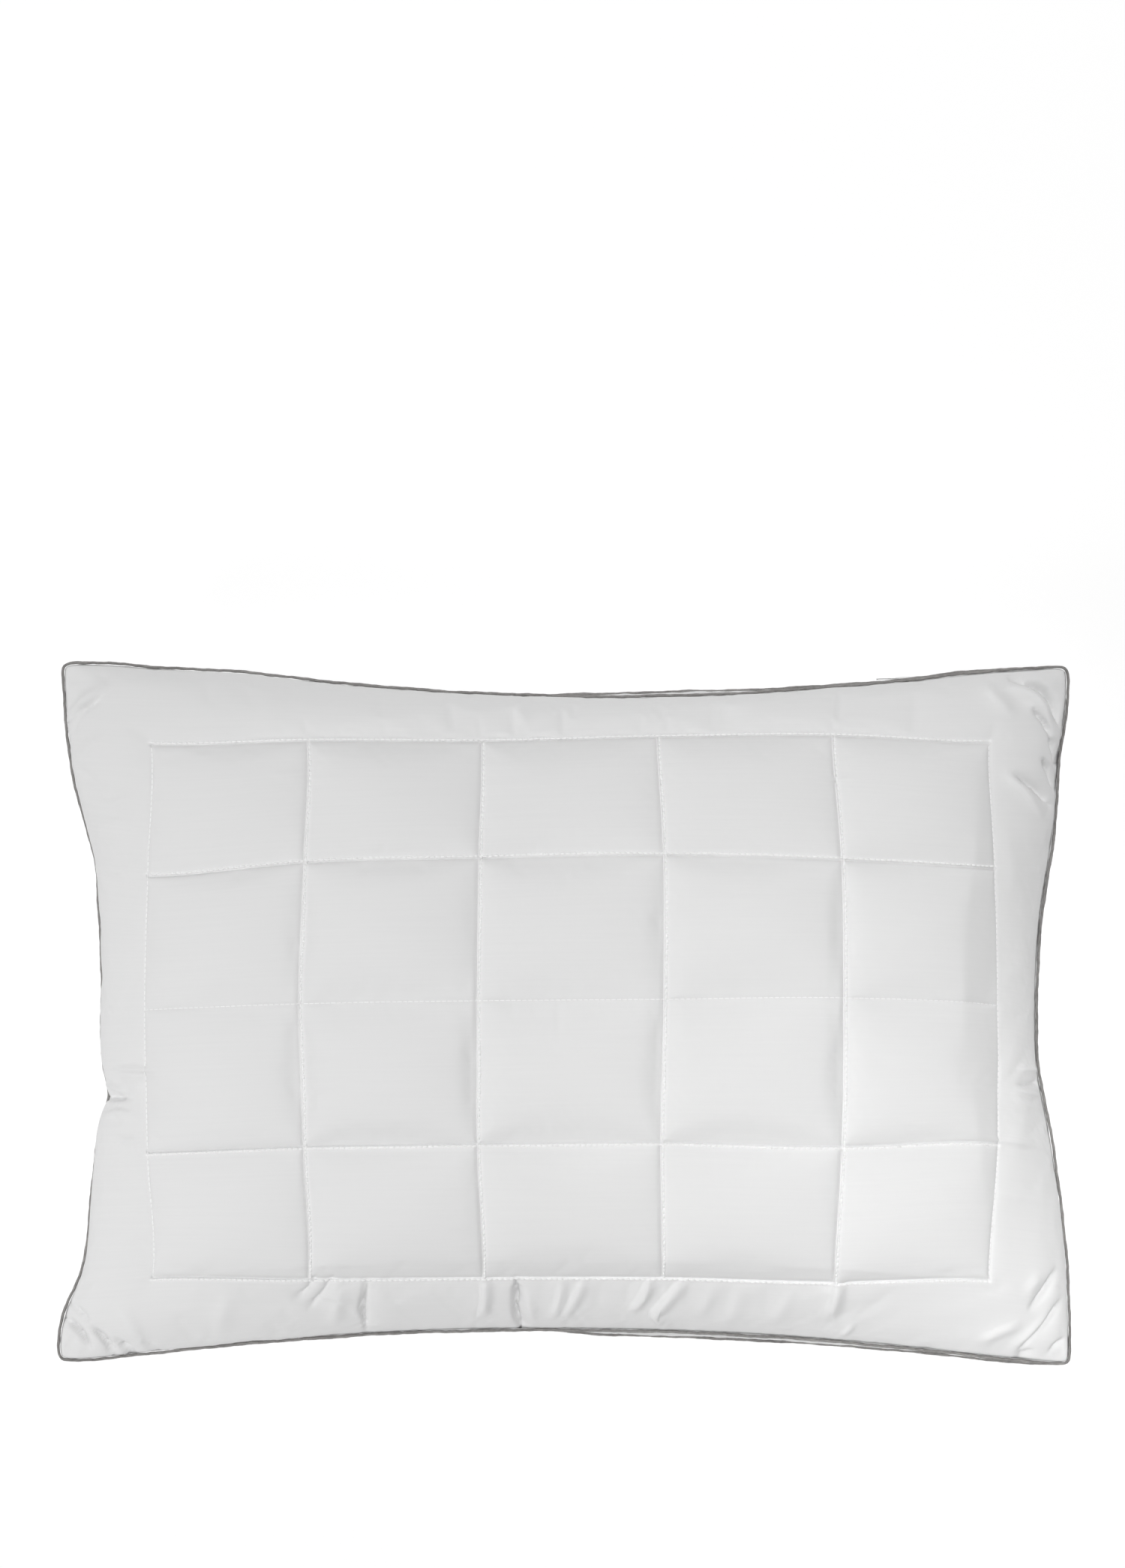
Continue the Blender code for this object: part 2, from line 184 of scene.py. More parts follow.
def smooth(stations, values, at):
    """A smooth line through values given at stations. Values may hold one row of numbers per station."""
    stations = np.asarray(stations, float)
    values = np.asarray(values, float)
    at = np.asarray(at, float)
    slopes = np.gradient(values, stations, axis=0)
    i = np.clip(np.searchsorted(stations, at, side="right") - 1, 0, len(stations) - 2)
    gap = stations[i + 1] - stations[i]
    t = (at - stations[i]) / gap
    for _ in range(values.ndim - 1):
        gap = gap[..., None]
        t = t[..., None]
    start = (1 + 2 * t) * (1 - t) ** 2 * values[i] + t * (1 - t) ** 2 * gap * slopes[i]
    end = t * t * (3 - 2 * t) * values[i + 1] - t * t * (1 - t) * gap * slopes[i + 1]
    return start + end


def through(pairs, at):
    """A smooth line through (place, value) pairs."""
    places, values = zip(*pairs, strict=True)
    return smooth(places, values, at)


def step(low, high, value):
    """0 below low, 1 above high, and smooth between."""
    t = np.clip((value - low) / (high - low), 0, 1)
    return t * t * (3 - 2 * t)


def unit(vectors):
    """The vectors at a length of 1."""
    return vectors / np.maximum(np.linalg.norm(vectors, axis=-1, keepdims=True), 1e-12)


def distances(line):
    """How far along a line each of its points lies."""
    return np.concatenate([[0], np.cumsum(np.linalg.norm(np.diff(line, axis=0), axis=1))])


def waves(seed, at, lengths, heights):
    """A sum of sines with seeded phases, one for each wavelength and height."""
    random = np.random.default_rng(seed)
    total = np.zeros_like(np.asarray(at, float))
    for length, height in zip(lengths, heights, strict=True):
        stretch = random.uniform(0.85, 1.15)
        total += height * np.sin(2 * math.pi * (at / (length * stretch) + random.uniform()))
    return total


def lumps(seed, x, y, size, count=14):
    """Soft seeded unevenness over a surface, about -1 to 1, with lumps of roughly that size."""
    random = np.random.default_rng(seed)
    total = np.zeros_like(x)
    for _ in range(count):
        angle = random.uniform(0, math.pi)
        length = size * random.uniform(0.7, 1.8)
        turn = 2 * math.pi / length
        along = x * math.cos(angle) + y * math.sin(angle)
        total += np.sin(turn * along + random.uniform(0, 2 * math.pi))
    return total / math.sqrt(count)


# ---------------------------------------------------------------- the seam ring


SIDE_NAMES = ("bottom", "right", "top", "left")


class Ring:
    """A closed line round the pillow, with its corners, that can be read at a share of any side."""

    SAMPLES = 600

    def __init__(self, draws, outward=None):
        corners = {k: np.array([x * HALF_LENGTH, y * HALF_WIDTH]) for k, (x, y) in CORNERS.items()}
        t = np.linspace(-1, 1, self.SAMPLES, endpoint=False)
        sides = [
            ("bl", "br", t, (0, 1), LONG_DRAW),
            ("br", "tr", t, (-1, 0), SHORT_DRAW),
            ("tr", "tl", -t, (0, -1), LONG_DRAW),
            ("tl", "bl", -t, (1, 0), SHORT_DRAW),
        ]
        line = []
        share = (t[:, None] + 1) / 2
        for (start, end, place, inward, deepest), draw in zip(sides, draws, strict=True):
            chord = corners[start] * (1 - share) + corners[end] * share
            depth = through(draw, place) * deepest
            line.append(chord + depth[:, None] * np.array(inward))
        self.line = self.rounded(np.concatenate(line))
        if outward is not None:
            self.line = self.line + self.normals() * self.around(outward)[:, None] * MM
            self.line = self.rounded(self.line)

    def rounded(self, line):
        """The line with its corners eased by a soft moving average."""
        step_length = np.linalg.norm(np.roll(line, -1, 0) - line, axis=1).mean()
        reach_steps = int(4 * CORNER_SOFTNESS / step_length)
        offsets = np.arange(-reach_steps, reach_steps + 1)
        weights = np.exp(-((offsets * step_length / CORNER_SOFTNESS) ** 2) / 2)
        weights /= weights.sum()
        return sum(w * np.roll(line, -o, 0) for o, w in zip(offsets, weights, strict=True))

    def normals(self):
        """The outward direction at each point."""
        along = np.roll(self.line, -1, 0) - np.roll(self.line, 1, 0)
        return unit(np.stack([along[:, 1], -along[:, 0]], axis=1))

    def around(self, sides):
        """Values given along the four sides, as one value for each point of the ring."""
        t = np.linspace(-1, 1, self.SAMPLES, endpoint=False)
        return np.concatenate([through(pairs, t if i < 2 else -t) for i, pairs in enumerate(sides)])

    def read(self, index, inset, values=None):
        """Points of the ring at fractional indices, moved in by inset; or values read there."""
        table = values if values is not None else self.line - inset * self.normals()
        low = np.floor(index).astype(int)
        part = index - low
        if table.ndim > 1:
            part = part[:, None]
        return table[low % len(table)] * (1 - part) + table[(low + 1) % len(table)] * part

    def side(self, name, place, inset, values=None):
        """The same on one side, at places from -1 to 1."""
        number = SIDE_NAMES.index(name)
        place = np.asarray(place, float) * (1 if number < 2 else -1)
        return self.read(number * self.SAMPLES + (place + 1) / 2 * self.SAMPLES, inset, values)

    def every(self, spacing, inset):
        """Points along the whole ring at an even spacing, with their distance along it."""
        line = self.line - inset * self.normals()
        closed = np.vstack([line, line[:1]])
        far = distances(closed)
        count = int(round(far[-1] / spacing))
        at = np.linspace(0, far[-1], count, endpoint=False)
        points = np.stack([np.interp(at, far, closed[:, i]) for i in (0, 1)], axis=1)
        return points, at


DRAWS = (BOTTOM_DRAW, RIGHT_DRAW, TOP_DRAW, LEFT_DRAW)
PEEKS = (BOTTOM_PEEK, RIGHT_PEEK, TOP_PEEK, LEFT_PEEK)
RINGS = {"front": Ring(DRAWS), "rear": Ring(DRAWS, outward=PEEKS)}
BULGE = RINGS["front"].around((PLAIN_BULGE, PLAIN_BULGE, PLAIN_BULGE, LEFT_BULGE)) * MM
PIPING_SHARE = 0.62  # the pressed cord's radius, as a share of the CAD part's
PANEL_INSET = 1.5 * BEAD  # the panel's sewn edge, in from the piping's outer side
SEAM_WAVES = ((2, 0.8), (3, 0.7), (5, 0.5), (9, 0.35))  # (waves in one turn, height in mm)


def seam_lift(x, y, face):
    """How far a seam lies above its level, which isn't quite even round the pillow."""
    angle = np.arctan2(y / HALF_WIDTH, x / HALF_LENGTH)
    random = np.random.default_rng(SEEDS[face]["seam"])
    lift = np.zeros_like(angle)
    for turns, height in SEAM_WAVES:
        lift += height * np.sin(turns * angle + random.uniform(0, 2 * math.pi))
    return lift * MM


# ---------------------------------------------------------------- laying a panel out on its ring

COLUMN_SHARES = [-1, *(x / HALF_LENGTH for x in COLUMNS), 1]
ROW_SHARES = [-1, *(y / HALF_WIDTH for y in ROWS), 1]
GRID_SAMPLES = 6000  # places at which a grid's density is worked out
SEWN_REACH = 2.2 * MM  # how far from a sewn line its close grid lines reach
ZONE_GAP = 1.3 * MM  # between grid lines where there are folds
ZONE_EDGE = 3  # over which a fold zone's density fades, in millimetres


def grid_shares(shares, half, wide, narrow, zones=()):
    """Shares for a grid's lines: closest at the sewn lines, close in the fold zones and wide elsewhere.

    wide and narrow are the gaps between lines away from the sewing and at it. zones are in millimetres.
    """
    place = np.linspace(-half, half, GRID_SAMPLES)
    density = np.full(len(place), 1 / wide)
    for low, high in zones:
        inside = step(low - ZONE_EDGE, low, place / MM) * step(high + ZONE_EDGE, high, place / MM)
        density = np.maximum(density, inside / ZONE_GAP)
    for sewn in shares[1:-1]:
        near = np.exp(-(((place - sewn * half) / SEWN_REACH) ** 2))
        density = np.maximum(density, near / narrow)
    total = np.concatenate([[0], np.cumsum((density[1:] + density[:-1]) / 2 * np.diff(place))])
    stops = np.interp(np.array(shares) * half, place, total)
    spans = zip(stops[:-1], stops[1:], strict=True)
    lines = [np.linspace(a, b, math.ceil(b - a), endpoint=False) for a, b in spans]
    lines = np.interp(np.concatenate([*lines, stops[-1:]]), total, place) / half
    for share in shares:
        lines[abs(lines - share).argmin()] = share
    return lines


def sewn_edge(ring, u, v):
    """The panel's sewn edge at the grid's lines, on the bottom, right, top and left."""
    places = zip(SIDE_NAMES, (u, v, u, v), strict=True)
    return [ring.side(name, at, PANEL_INSET) for name, at in places]


def line_places(ring, axis, edges, drift, along):
    """The x of the upright lines for axis 0, or the y of the level ones for axis 1, edges included."""
    shares, straight, drifts, sides = (
        (COLUMN_SHARES, COLUMNS, COLUMN_DRIFT, ("bottom", "top")),
        (ROW_SHARES, ROWS, ROW_DRIFT, ("left", "right")),
    )[axis]
    crossed = (ROW_SHARES, COLUMN_SHARES)[axis]
    lines = []
    for share, place, row in zip(shares[1:-1], straight, drifts, strict=True):
        wander = [place + drift * d * MM for d in row]
        low, high = (ring.side(s, [share], PANEL_INSET)[0, axis] for s in sides)
        lines.append(smooth(crossed, [low, *wander, high], along))
    return np.array([edges[0][:, axis], *lines, edges[1][:, axis]])


def lay_out(ring, u, v, drift):
    """Plan position of each grid point, with the x of each upright line and the y of each level one."""
    bottom, right, top, left = sewn_edge(ring, u, v)
    column_x = line_places(ring, 0, (left, right), drift, v)
    row_y = line_places(ring, 1, (bottom, top), drift, u)
    x = smooth(COLUMN_SHARES, column_x, u)
    y = smooth(ROW_SHARES, row_y, v).T
    return meet_ring(ring, np.stack([x, y], axis=2), u, v), column_x, row_y


def meet_ring(ring, plan, u, v):
    """Moves the border so that the grid's edge lies exactly on the ring."""
    bottom, right, top, left = sewn_edge(ring, u, v)
    bottom, top = bottom - plan[:, 0], top - plan[:, -1]
    left, right = left - plan[0], right - plan[-1]
    near_left = step(COLUMN_SHARES[1], -1, u)[:, None, None]
    near_right = step(COLUMN_SHARES[-2], 1, u)[:, None, None]
    near_bottom = step(ROW_SHARES[1], -1, v)[None, :, None]
    near_top = step(ROW_SHARES[-2], 1, v)[None, :, None]
    moved = plan + near_bottom * bottom[:, None] + near_top * top[:, None]
    moved = moved + near_left * left[None] + near_right * right[None]
    for du, edge in ((near_left, left), (near_right, right)):
        for dv, end in ((near_bottom, 0), (near_top, -1)):
            moved = moved - du * dv * edge[end]
    return moved


# The stretch of the bottom and the right flank that lies straighter: shares of the half length and width.
STRAIGHT_MIDDLE = 0.1
STRAIGHT_LENGTH = 0.8
STRAIGHT_WIDTH = 0.6


def envelope(ring, plan, u, v):
    """0 at the seam to 1 at the crown, as the CAD part's cover has it, but straighter past the frame."""
    x, y = plan[..., 0], plan[..., 1]
    bottom, right, top, left = sewn_edge(ring, u, v)
    s = np.clip(np.where(x > 0, x / right[:, 0][None], x / left[:, 0][None]), 0, 1)
    t = np.clip(np.where(y > 0, y / top[:, 1][:, None], y / bottom[:, 1][:, None]), 0, 1)
    frame_s = np.where(x > 0, COLUMN_SHARES[-2], -COLUMN_SHARES[1])
    frame_t = np.where(y > 0, ROW_SHARES[-2], -ROW_SHARES[1])
    mid_x = np.exp(-(((x / HALF_LENGTH - STRAIGHT_MIDDLE) / STRAIGHT_LENGTH) ** 4))
    mid_y = np.exp(-((y / (STRAIGHT_WIDTH * HALF_WIDTH)) ** 4))
    along = straightened(s, frame_s, 3, np.where(x > 0, 0.1 + 0.85 * mid_y, 0.1))
    fuller = np.where(y > 0, 2, 2 + 2 * mid_x)
    across = straightened(t, frame_t, fuller, np.where(y > 0, 0.2, 0.1 + 0.9 * mid_x))
    return along * across


def straightened(place, frame, power, straight):
    """A round profile from 1 in the middle to 0 at the seam, drawn towards a straight line past the frame.

    A higher power makes it fuller. straight goes from 0, all round, to 1, all straight.
    """
    curve = np.sqrt(1 - place**power)
    line = np.sqrt(1 - frame**power) * (1 - place) / (1 - frame)
    return np.where(place > frame, curve + straight * (line - curve), curve)


def cell_shares(at, shares, number):
    """How far across one row or column of cells each place lies, from 0 to 1."""
    low, high = shares[number + 1], shares[number + 2]
    return np.clip((at - low) / (high - low), 0, 1)


def puff(u, v, amounts):
    """How far each quilted cell swells. The cells go in rows from the bottom and columns from the left."""
    total = np.zeros((len(u), len(v)))
    for j, row in enumerate(amounts):
        up = np.sin(math.pi * cell_shares(v, ROW_SHARES, j))
        for i, amount in enumerate(row):
            across = np.sin(math.pi * cell_shares(u, COLUMN_SHARES, i))
            total += amount * MM * across[:, None] * up[None]
    return total


def line_gaps(plan, column_x, row_y):
    """Distance from each grid point to each sewn line, as (columns, rows), past the frame's end too."""
    x, y = plan[..., 0], plan[..., 1]
    over_y = np.maximum(0, np.maximum(y - row_y[-2][:, None], row_y[1][:, None] - y))
    over_x = np.maximum(0, np.maximum(x - column_x[-2][None], column_x[1][None] - x))
    columns = [np.hypot(x - column_x[k][None], 2 * over_y) for k in range(1, len(column_x) - 1)]
    rows = [np.hypot(y - row_y[j][:, None], 2 * over_x) for j in range(1, len(row_y) - 1)]
    return columns, rows


def valley(gaps):
    """How far the sewn lines pull the surface in: a sharp crease in a wider, shallow hollow."""
    columns, rows = gaps
    total = np.zeros_like(columns[0])
    for gap, pull in zip([*columns, *rows], [*COLUMN_PULL, *ROW_PULL], strict=True):
        crease = CREASE * pull * np.exp(-gap / CREASE_WIDTH)
        hollow = HOLLOW * (0.4 + 0.6 * pull) * np.exp(-gap / HOLLOW_WIDTH)
        total = np.maximum(total, crease + hollow)
    return total


# ---------------------------------------------------------------- cloth


def grid_faces(nu, nv, flip=False, around=False, closed=False):
    """Quads of a grid of nu by nv points, joined round along u and closed round along v if asked."""
    i = np.arange(nu if around else nu - 1)[:, None]
    j = np.arange(nv if closed else nv - 1)[None]
    next_i, next_j = (i + 1) % nu, (j + 1) % nv
    corners = [i * nv + j, next_i * nv + j, next_i * nv + next_j, i * nv + next_j]
    quads = np.stack([np.broadcast_to(c, (i.size, j.size)) for c in corners], axis=2).reshape(-1, 4)
    return quads[:, ::-1] if flip else quads


def give(thing, **settings):
    """Sets several settings of a thing, in order."""
    for name, value in settings.items():
        setattr(thing, name, value)


def new_object(name, data):
    """A new object in the scene."""
    obj = bpy.data.objects.new(name, data)
    bpy.context.scene.collection.objects.link(obj)
    return obj


def make_object(name, points, faces, uv=None):
    """A smooth-shaded mesh object. uv is one place on the flat cloth for each point."""
    mesh = bpy.data.meshes.new(name)
    faces = [tuple(int(i) for i in f) for f in faces]
    mesh.from_pydata([tuple(p) for p in np.asarray(points, float).reshape(-1, 3).tolist()], [], faces)
    mesh.polygons.foreach_set("use_smooth", np.ones(len(mesh.polygons), bool))
    if uv is not None:
        corner = np.empty(len(mesh.loops), np.int32)
        mesh.loops.foreach_get("vertex_index", corner)
        layer = mesh.uv_layers.new(name="Pattern")
        layer.data.foreach_set("uv", np.asarray(uv, np.float32).reshape(-1, 2)[corner].ravel())
    return new_object(name, mesh)


CLOTH = {
    "quality": 5,
    "mass": 0.15,
    "tension_stiffness": 25,
    "compression_stiffness": 25,
    "shear_stiffness": 8,
    "bending_stiffness": 0.04,
    "tension_damping": 3,
    "compression_damping": 3,
    "shear_damping": 3,
    "bending_damping": 0.1,
    "air_damping": 1,
    "vertex_group_mass": "Sewn",
    "pin_stiffness": 1.0,
    "shrink_min": -0.003,  # the cloth is cut this much fuller than its plan
    "use_pressure": True,
    "uniform_pressure_force": 3.5,
}
CLOTH_FRAMES = 14


def settle(face, grid, sewn):
    """Settles a panel with Blender's Cloth, with its sewn points held, and returns the new grid."""
    obj = make_object(face, grid, grid_faces(*grid.shape[:2], flip=face == "rear"))
    held = obj.vertex_groups.new(name="Sewn")
    held.add([int(i) for i in np.flatnonzero(sewn.ravel())], 1.0, "REPLACE")
    cloth = obj.modifiers.new("Cloth", "CLOTH")
    give(cloth.settings, **CLOTH)
    cloth.settings.effector_weights.gravity = 0
    give(cloth.point_cache, frame_start=1, frame_end=CLOTH_FRAMES)
    for number in range(1, CLOTH_FRAMES + 1):
        bpy.context.scene.frame_set(number)
    evaluated = obj.evaluated_get(bpy.context.evaluated_depsgraph_get())
    mesh = evaluated.to_mesh()
    moved = np.empty(len(mesh.vertices) * 3, np.float32)
    mesh.vertices.foreach_get("co", moved)
    evaluated.to_mesh_clear()
    bpy.data.objects.remove(obj)
    bpy.context.scene.frame_set(1)
    return moved.reshape(grid.shape).astype(float)


# ---------------------------------------------------------------- folds from the sewing and the corners

# Each fold is (points along it in millimetres from the middle, height in mm, half width in mm, lean). It is
# a soft ridge when its height is positive and a sharp groove when negative. A lean adds a crease beside a
# ridge, and makes a groove steeper, on the right hand of someone going along it when the lean is positive.
FRONT_FOLDS = [
    # bottom border
    ([(-33, -181), (-33, -190), (-33, -203), (-29, -213)], -11.5, 5.8, 0.6),
    ([(-26, -186), (-24, -196), (-21, -210)], 2.2, 4.0, 0),
    ([(-133, -181), (-136, -196), (-135, -212)], -8.6, 5.3, 0.6),
    ([(-55, -179), (-55, -190), (-57, -202)], 3.8, 4.2, 0.7),
    ([(-156, -177), (-162, -186), (-171, -196)], -4.4, 4.5, 0),
    ([(-167, -176), (-173, -184), (-180, -190)], -3.6, 4.2, 0),
    ([(-149, -184), (-153, -196), (-156, -208)], 2.5, 5.0, 0),
    ([(-3, -180), (-5, -191), (-9, -203)], 3.6, 4.0, 0.5),
    ([(12, -179), (6, -190), (-2, -204)], 3.2, 4.0, 0.5),
    ([(56, -179), (52, -187), (45, -197)], 4.8, 3.8, 0.7),
    ([(78, -180), (67, -191), (60, -202), (66, -211)], 4.8, 4.6, 0.7),
    ([(98, -184), (95, -193), (90, -202)], 1.8, 4.0, 0.2),
    ([(183, -176), (181, -190), (177, -203)], 4.4, 5.0, 0.5),
    ([(194, -210), (187, -217)], 2.5, 2.6, 0.5),
    ([(118, -182), (113, -196), (108, -208)], 1.6, 6.0, 0.4),
    ([(150, -184), (146, -196), (140, -208)], 1.5, 5.0, 0.4),
    ([(-226, -186), (-232, -202), (-236, -216)], 1.6, 7.0, 0.4),
    # bottom right corner
    ([(334, -196), (324, -210), (309, -225)], -9.7, 4.2, 0.3),
    ([(330, -202), (318, -215), (303, -226)], 3.6, 4.0, 0),
    ([(331, -174), (324, -186), (315, -197)], -7.6, 4.2, 0.3),
    ([(320, -176), (312, -188)], 2.2, 4.0, 0),
    ([(305, -209), (292, -214), (278, -221)], 3.1, 4.4, 0.4),
    ([(338, -220), (329, -228)], -5.6, 3.1, 0.3),
    ([(316, -228), (306, -232)], -4.6, 3.1, 0.3),
    # bottom left corner
    ([(-337, -207), (-330, -215), (-323, -224)], -11.0, 3.8, 0.4),
    ([(-319, -213), (-312, -221), (-306, -229)], -10.0, 3.8, 0.4),
    ([(-303, -220), (-297, -226), (-291, -231)], -7.0, 3.4, 0.4),
    ([(-334, -196), (-327, -203), (-321, -210)], -4.5, 3.6, 0.4),
    ([(-284, -222), (-279, -226), (-274, -229)], -3.0, 3.0, 0.4),
    ([(-301, -198), (-294, -208), (-288, -221)], 2.2, 5.0, 0.4),
    # top right corner
    ([(303, 228), (320, 223), (330, 214), (335, 199)], -14.8, 4.5, 0),
    ([(300, 221), (314, 216), (323, 208), (328, 196)], 6.4, 4.0, 0),
    ([(318, 205), (324, 199), (328, 191)], -11.6, 3.4, 0),
    ([(329, 187), (332, 180), (334, 171)], -9.6, 3.4, 0),
    ([(324, 171), (329, 164), (332, 154)], -11.6, 3.6, 0),
    ([(305, 160), (317, 153), (328, 143)], -8.8, 4.2, 0),
    ([(297, 160), (309, 150), (321, 136)], 3.8, 4.0, 0.5),
    ([(284, 221), (290, 213), (300, 203)], 3.1, 5.0, 0.3),
    # top left corner
    ([(-336, 197), (-328, 205), (-316, 211)], -4.5, 4.4, 0),
    ([(-335, 193), (-327, 207), (-311, 220)], 4.3, 4.6, 0.7),
    ([(-331, 168), (-322, 178), (-313, 186)], 1.9, 5.0, 0.4),
    # top border
    ([(-31, 213), (-31, 205), (-30, 194)], 1.7, 6.0, 0.4),
    ([(-200, 218), (-198, 205), (-197, 192)], 0.6, 8.0, 0.2),
    ([(120, 214), (123, 204), (122, 192)], 0.6, 9.0, 0.2),
    # left border and its notch
    ([(-322, 142), (-307, 140), (-291, 145)], 1.8, 4.4, 0.5),
    ([(-319, 130), (-304, 133), (-290, 131)], 1.6, 4.4, 0.5),
    ([(-317, 97), (-303, 96), (-290, 99)], 1.3, 4.0, 0.4),
    ([(-312, -57), (-305, -56), (-294, -57)], -6.0, 3.4, 0.3),
    ([(-309, -48), (-302, -51), (-295, -54)], 3.7, 2.8, 0.5),
    ([(-310, -67), (-301, -65), (-292, -67)], 2.6, 3.4, -0.4),
    ([(-302, -38), (-290, -38), (-276, -39)], 3.0, 2.6, 0.9),
    ([(-300, -84), (-294, -86), (-287, -85)], 1.7, 2.6, 0.5),
    # right border and its pinch
    ([(322, -45), (315, -47), (307, -47)], -4.3, 3.0, 0.3),
    ([(322, -37), (314, -37), (305, -36)], 2.6, 2.8, 0.4),
    ([(322, -55), (314, -54), (304, -52)], 2.6, 2.8, -0.4),
    ([(319, -64), (311, -62), (303, -57)], 1.6, 3.0, -0.4),
    ([(316, -87), (303, -85), (289, -83)], 2.6, 3.0, 0.7),
    ([(319, -122), (306, -120), (293, -120)], 1.3, 4.0, 0.5),
    ([(312, 37), (303, 30), (295, 20)], 0.8, 6.0, 0.3),
    # inside the quilting
    ([(14, -119), (37, -120), (60, -119)], 0.5, 2.4, 0.9),
    ([(-76, -100), (-68, -101), (-59, -100)], 0.7, 1.8, 0.8),
    ([(-79, -113), (-69, -114), (-59, -113)], 0.8, 1.8, 0.8),
    ([(-75, -127), (-67, -128), (-59, -128)], 0.7, 1.8, 0.8),
    ([(-77, -141), (-68, -141), (-58, -142)], 0.8, 1.8, 0.8),
    ([(-73, -155), (-66, -156), (-58, -156)], 0.6, 1.8, 0.8),
    ([(168, 157), (181, 156), (195, 158)], 1.0, 2.0, 0.8),
    ([(-196, 160), (-186, 159), (-176, 161)], 0.6, 2.2, 0.6),
]


# Where the folds need a finer grid, in millimetres along the pillow's length and its width.
COLUMN_ZONES = [
    (-340, -312), (-182, -160), (-141, -126), (-66, -22), (-12, 12), (38, 80), (172, 198), (300, 340),
]
ROW_ZONES = [(-230, -174), (-90, -34), (128, 172), (176, 228)]


def bend(points, count=24):
    """A smooth line through a fold's points, evenly read."""
    points = np.array(points, float) * MM
    return smooth(np.linspace(0, 1, len(points)), points, np.linspace(0, 1, count))


FOLD_MARGIN = 4  # how far a fold reaches at most, in its half widths
FOLD_END = 0.7  # how soon a fold fades past its ends, in its half widths
GROOVE_WIDTH = 0.45  # of a groove's sharp slopes, in its half widths


def fold_section(side, height, lean):
    """A fold's section, about 1 at its top or bottom, at distances in half widths, left of it positive."""
    if height < 0:
        return np.exp(-abs(side) / (GROOVE_WIDTH * (1 + lean * np.sign(side))))
    ridge = np.exp(-((side - 0.4 * lean) ** 2))
    crease = np.exp(-abs(side + 0.6 * np.sign(lean)) / 0.3)
    return ridge - 0.8 * abs(lean) * crease


def fold_height(plan, points, height, width, lean):
    """What one fold adds to the surface at each point of the plan."""
    line = bend(points)
    flat = plan.reshape(-1, 2)
    low = line.min(0) - FOLD_MARGIN * width * MM
    high = line.max(0) + FOLD_MARGIN * width * MM
    near = np.flatnonzero(((flat > low) & (flat < high)).all(axis=1))
    added = np.zeros(len(flat))
    if len(near):
        here = flat[near]
        gap = here[:, None] - line[None]
        index = np.einsum("ijk,ijk->ij", gap, gap).argmin(axis=1)
        along = unit(np.gradient(line, axis=0))
        across = np.stack([-along[:, 1], along[:, 0]], axis=1)
        offset = here - line[index]
        side = (offset * across[index]).sum(axis=1) / (width * MM)
        past = abs((offset * along[index]).sum(axis=1)) / (FOLD_END * width * MM)
        share = index / (len(line) - 1)
        taper = np.sin(math.pi * np.clip(0.06 + 0.88 * share, 0, 1)) ** 0.7
        added[near] = height * MM * fold_section(side, height, lean) * taper * np.exp(-(past**2))
    return added.reshape(plan.shape[:2])


# ---------------------------------------------------------------- the two panels

CREASE = 2.3 * MM
CREASE_WIDTH = 1.5 * MM
HOLLOW = 2.4 * MM
HOLLOW_WIDTH = 17 * MM
COLUMN_PULL = (0.35, 1, 1, 1, 1, 0.6)  # how hard each sewn line pulls, left to right
ROW_PULL = (0.9, 1, 0.4, 1, 0.9)  # bottom to top
COLUMN_SIDE = (0, 1, 1, 1, 1, 0)  # which side of its crease each line's thread lies on, along +X or +Y
ROW_SIDE = (-1, -1, 0, 1, 1)
THREAD_LINES = 3  # grid lines from a crease to its thread
COLUMN_THREAD = (0.24, 0.46, 0.46, 0.46, 0.46, 0.22)  # radius, in mm, as the thread shows
ROW_THREAD = (0.46, 0.46, 0.19, 0.46, 0.46)
SEWN_LINES = (
    (COLUMN_SHARES[1:-1], COLUMN_SIDE, COLUMN_THREAD),
    (ROW_SHARES[1:-1], ROW_SIDE, ROW_THREAD),
)
STRIP_MIDDLE = 1.5 * MM  # of the strip beside each crease that is raised and carries a painted highlight, from the crease
STRIP_WIDTH = 0.8 * MM
STRIP_RISE = 0.4 * MM
PANEL_RISE = 0.5 * MM  # the panel's sewn edge, above the piping's middle
CONE_DEPTH = 9 * MM
STITCH_PITCH = 3.7 * MM
UNEVEN = 0.8 * MM  # the filling's lumps
UNEVEN_SIZE = 0.16
REAR_DRIFT = 0.4  # the rear's lines are straighter than the front's, by this share
REAR_UNEVEN = 0.3
REAR_SEWN = 0.9
REST_FULLNESS = 1.18  # how much further than the floor the rear panel would reach if it could
REST_SOFTNESS = 0.02
COARSE = {"front": 4 * MM, "rear": 6 * MM}  # between the lines of the grid that the cloth settles on
FINE = {"front": (2.8 * MM, 0.45 * MM), "rear": (5 * MM, 1 * MM)}  # of the final grid: wide and narrow
LARGEST_MOVE = 9 * MM
LEAN_REACH = 0.42  # how high up its flank a panel leans out, as a share of its height
HELD_WITHIN = 1.3 * MM  # of a sewn line, as the cloth settles
SIDE_BLEND = 0.02  # how near a corner the lean turns from one side to the next
REAR_BULGE = 1 * MM


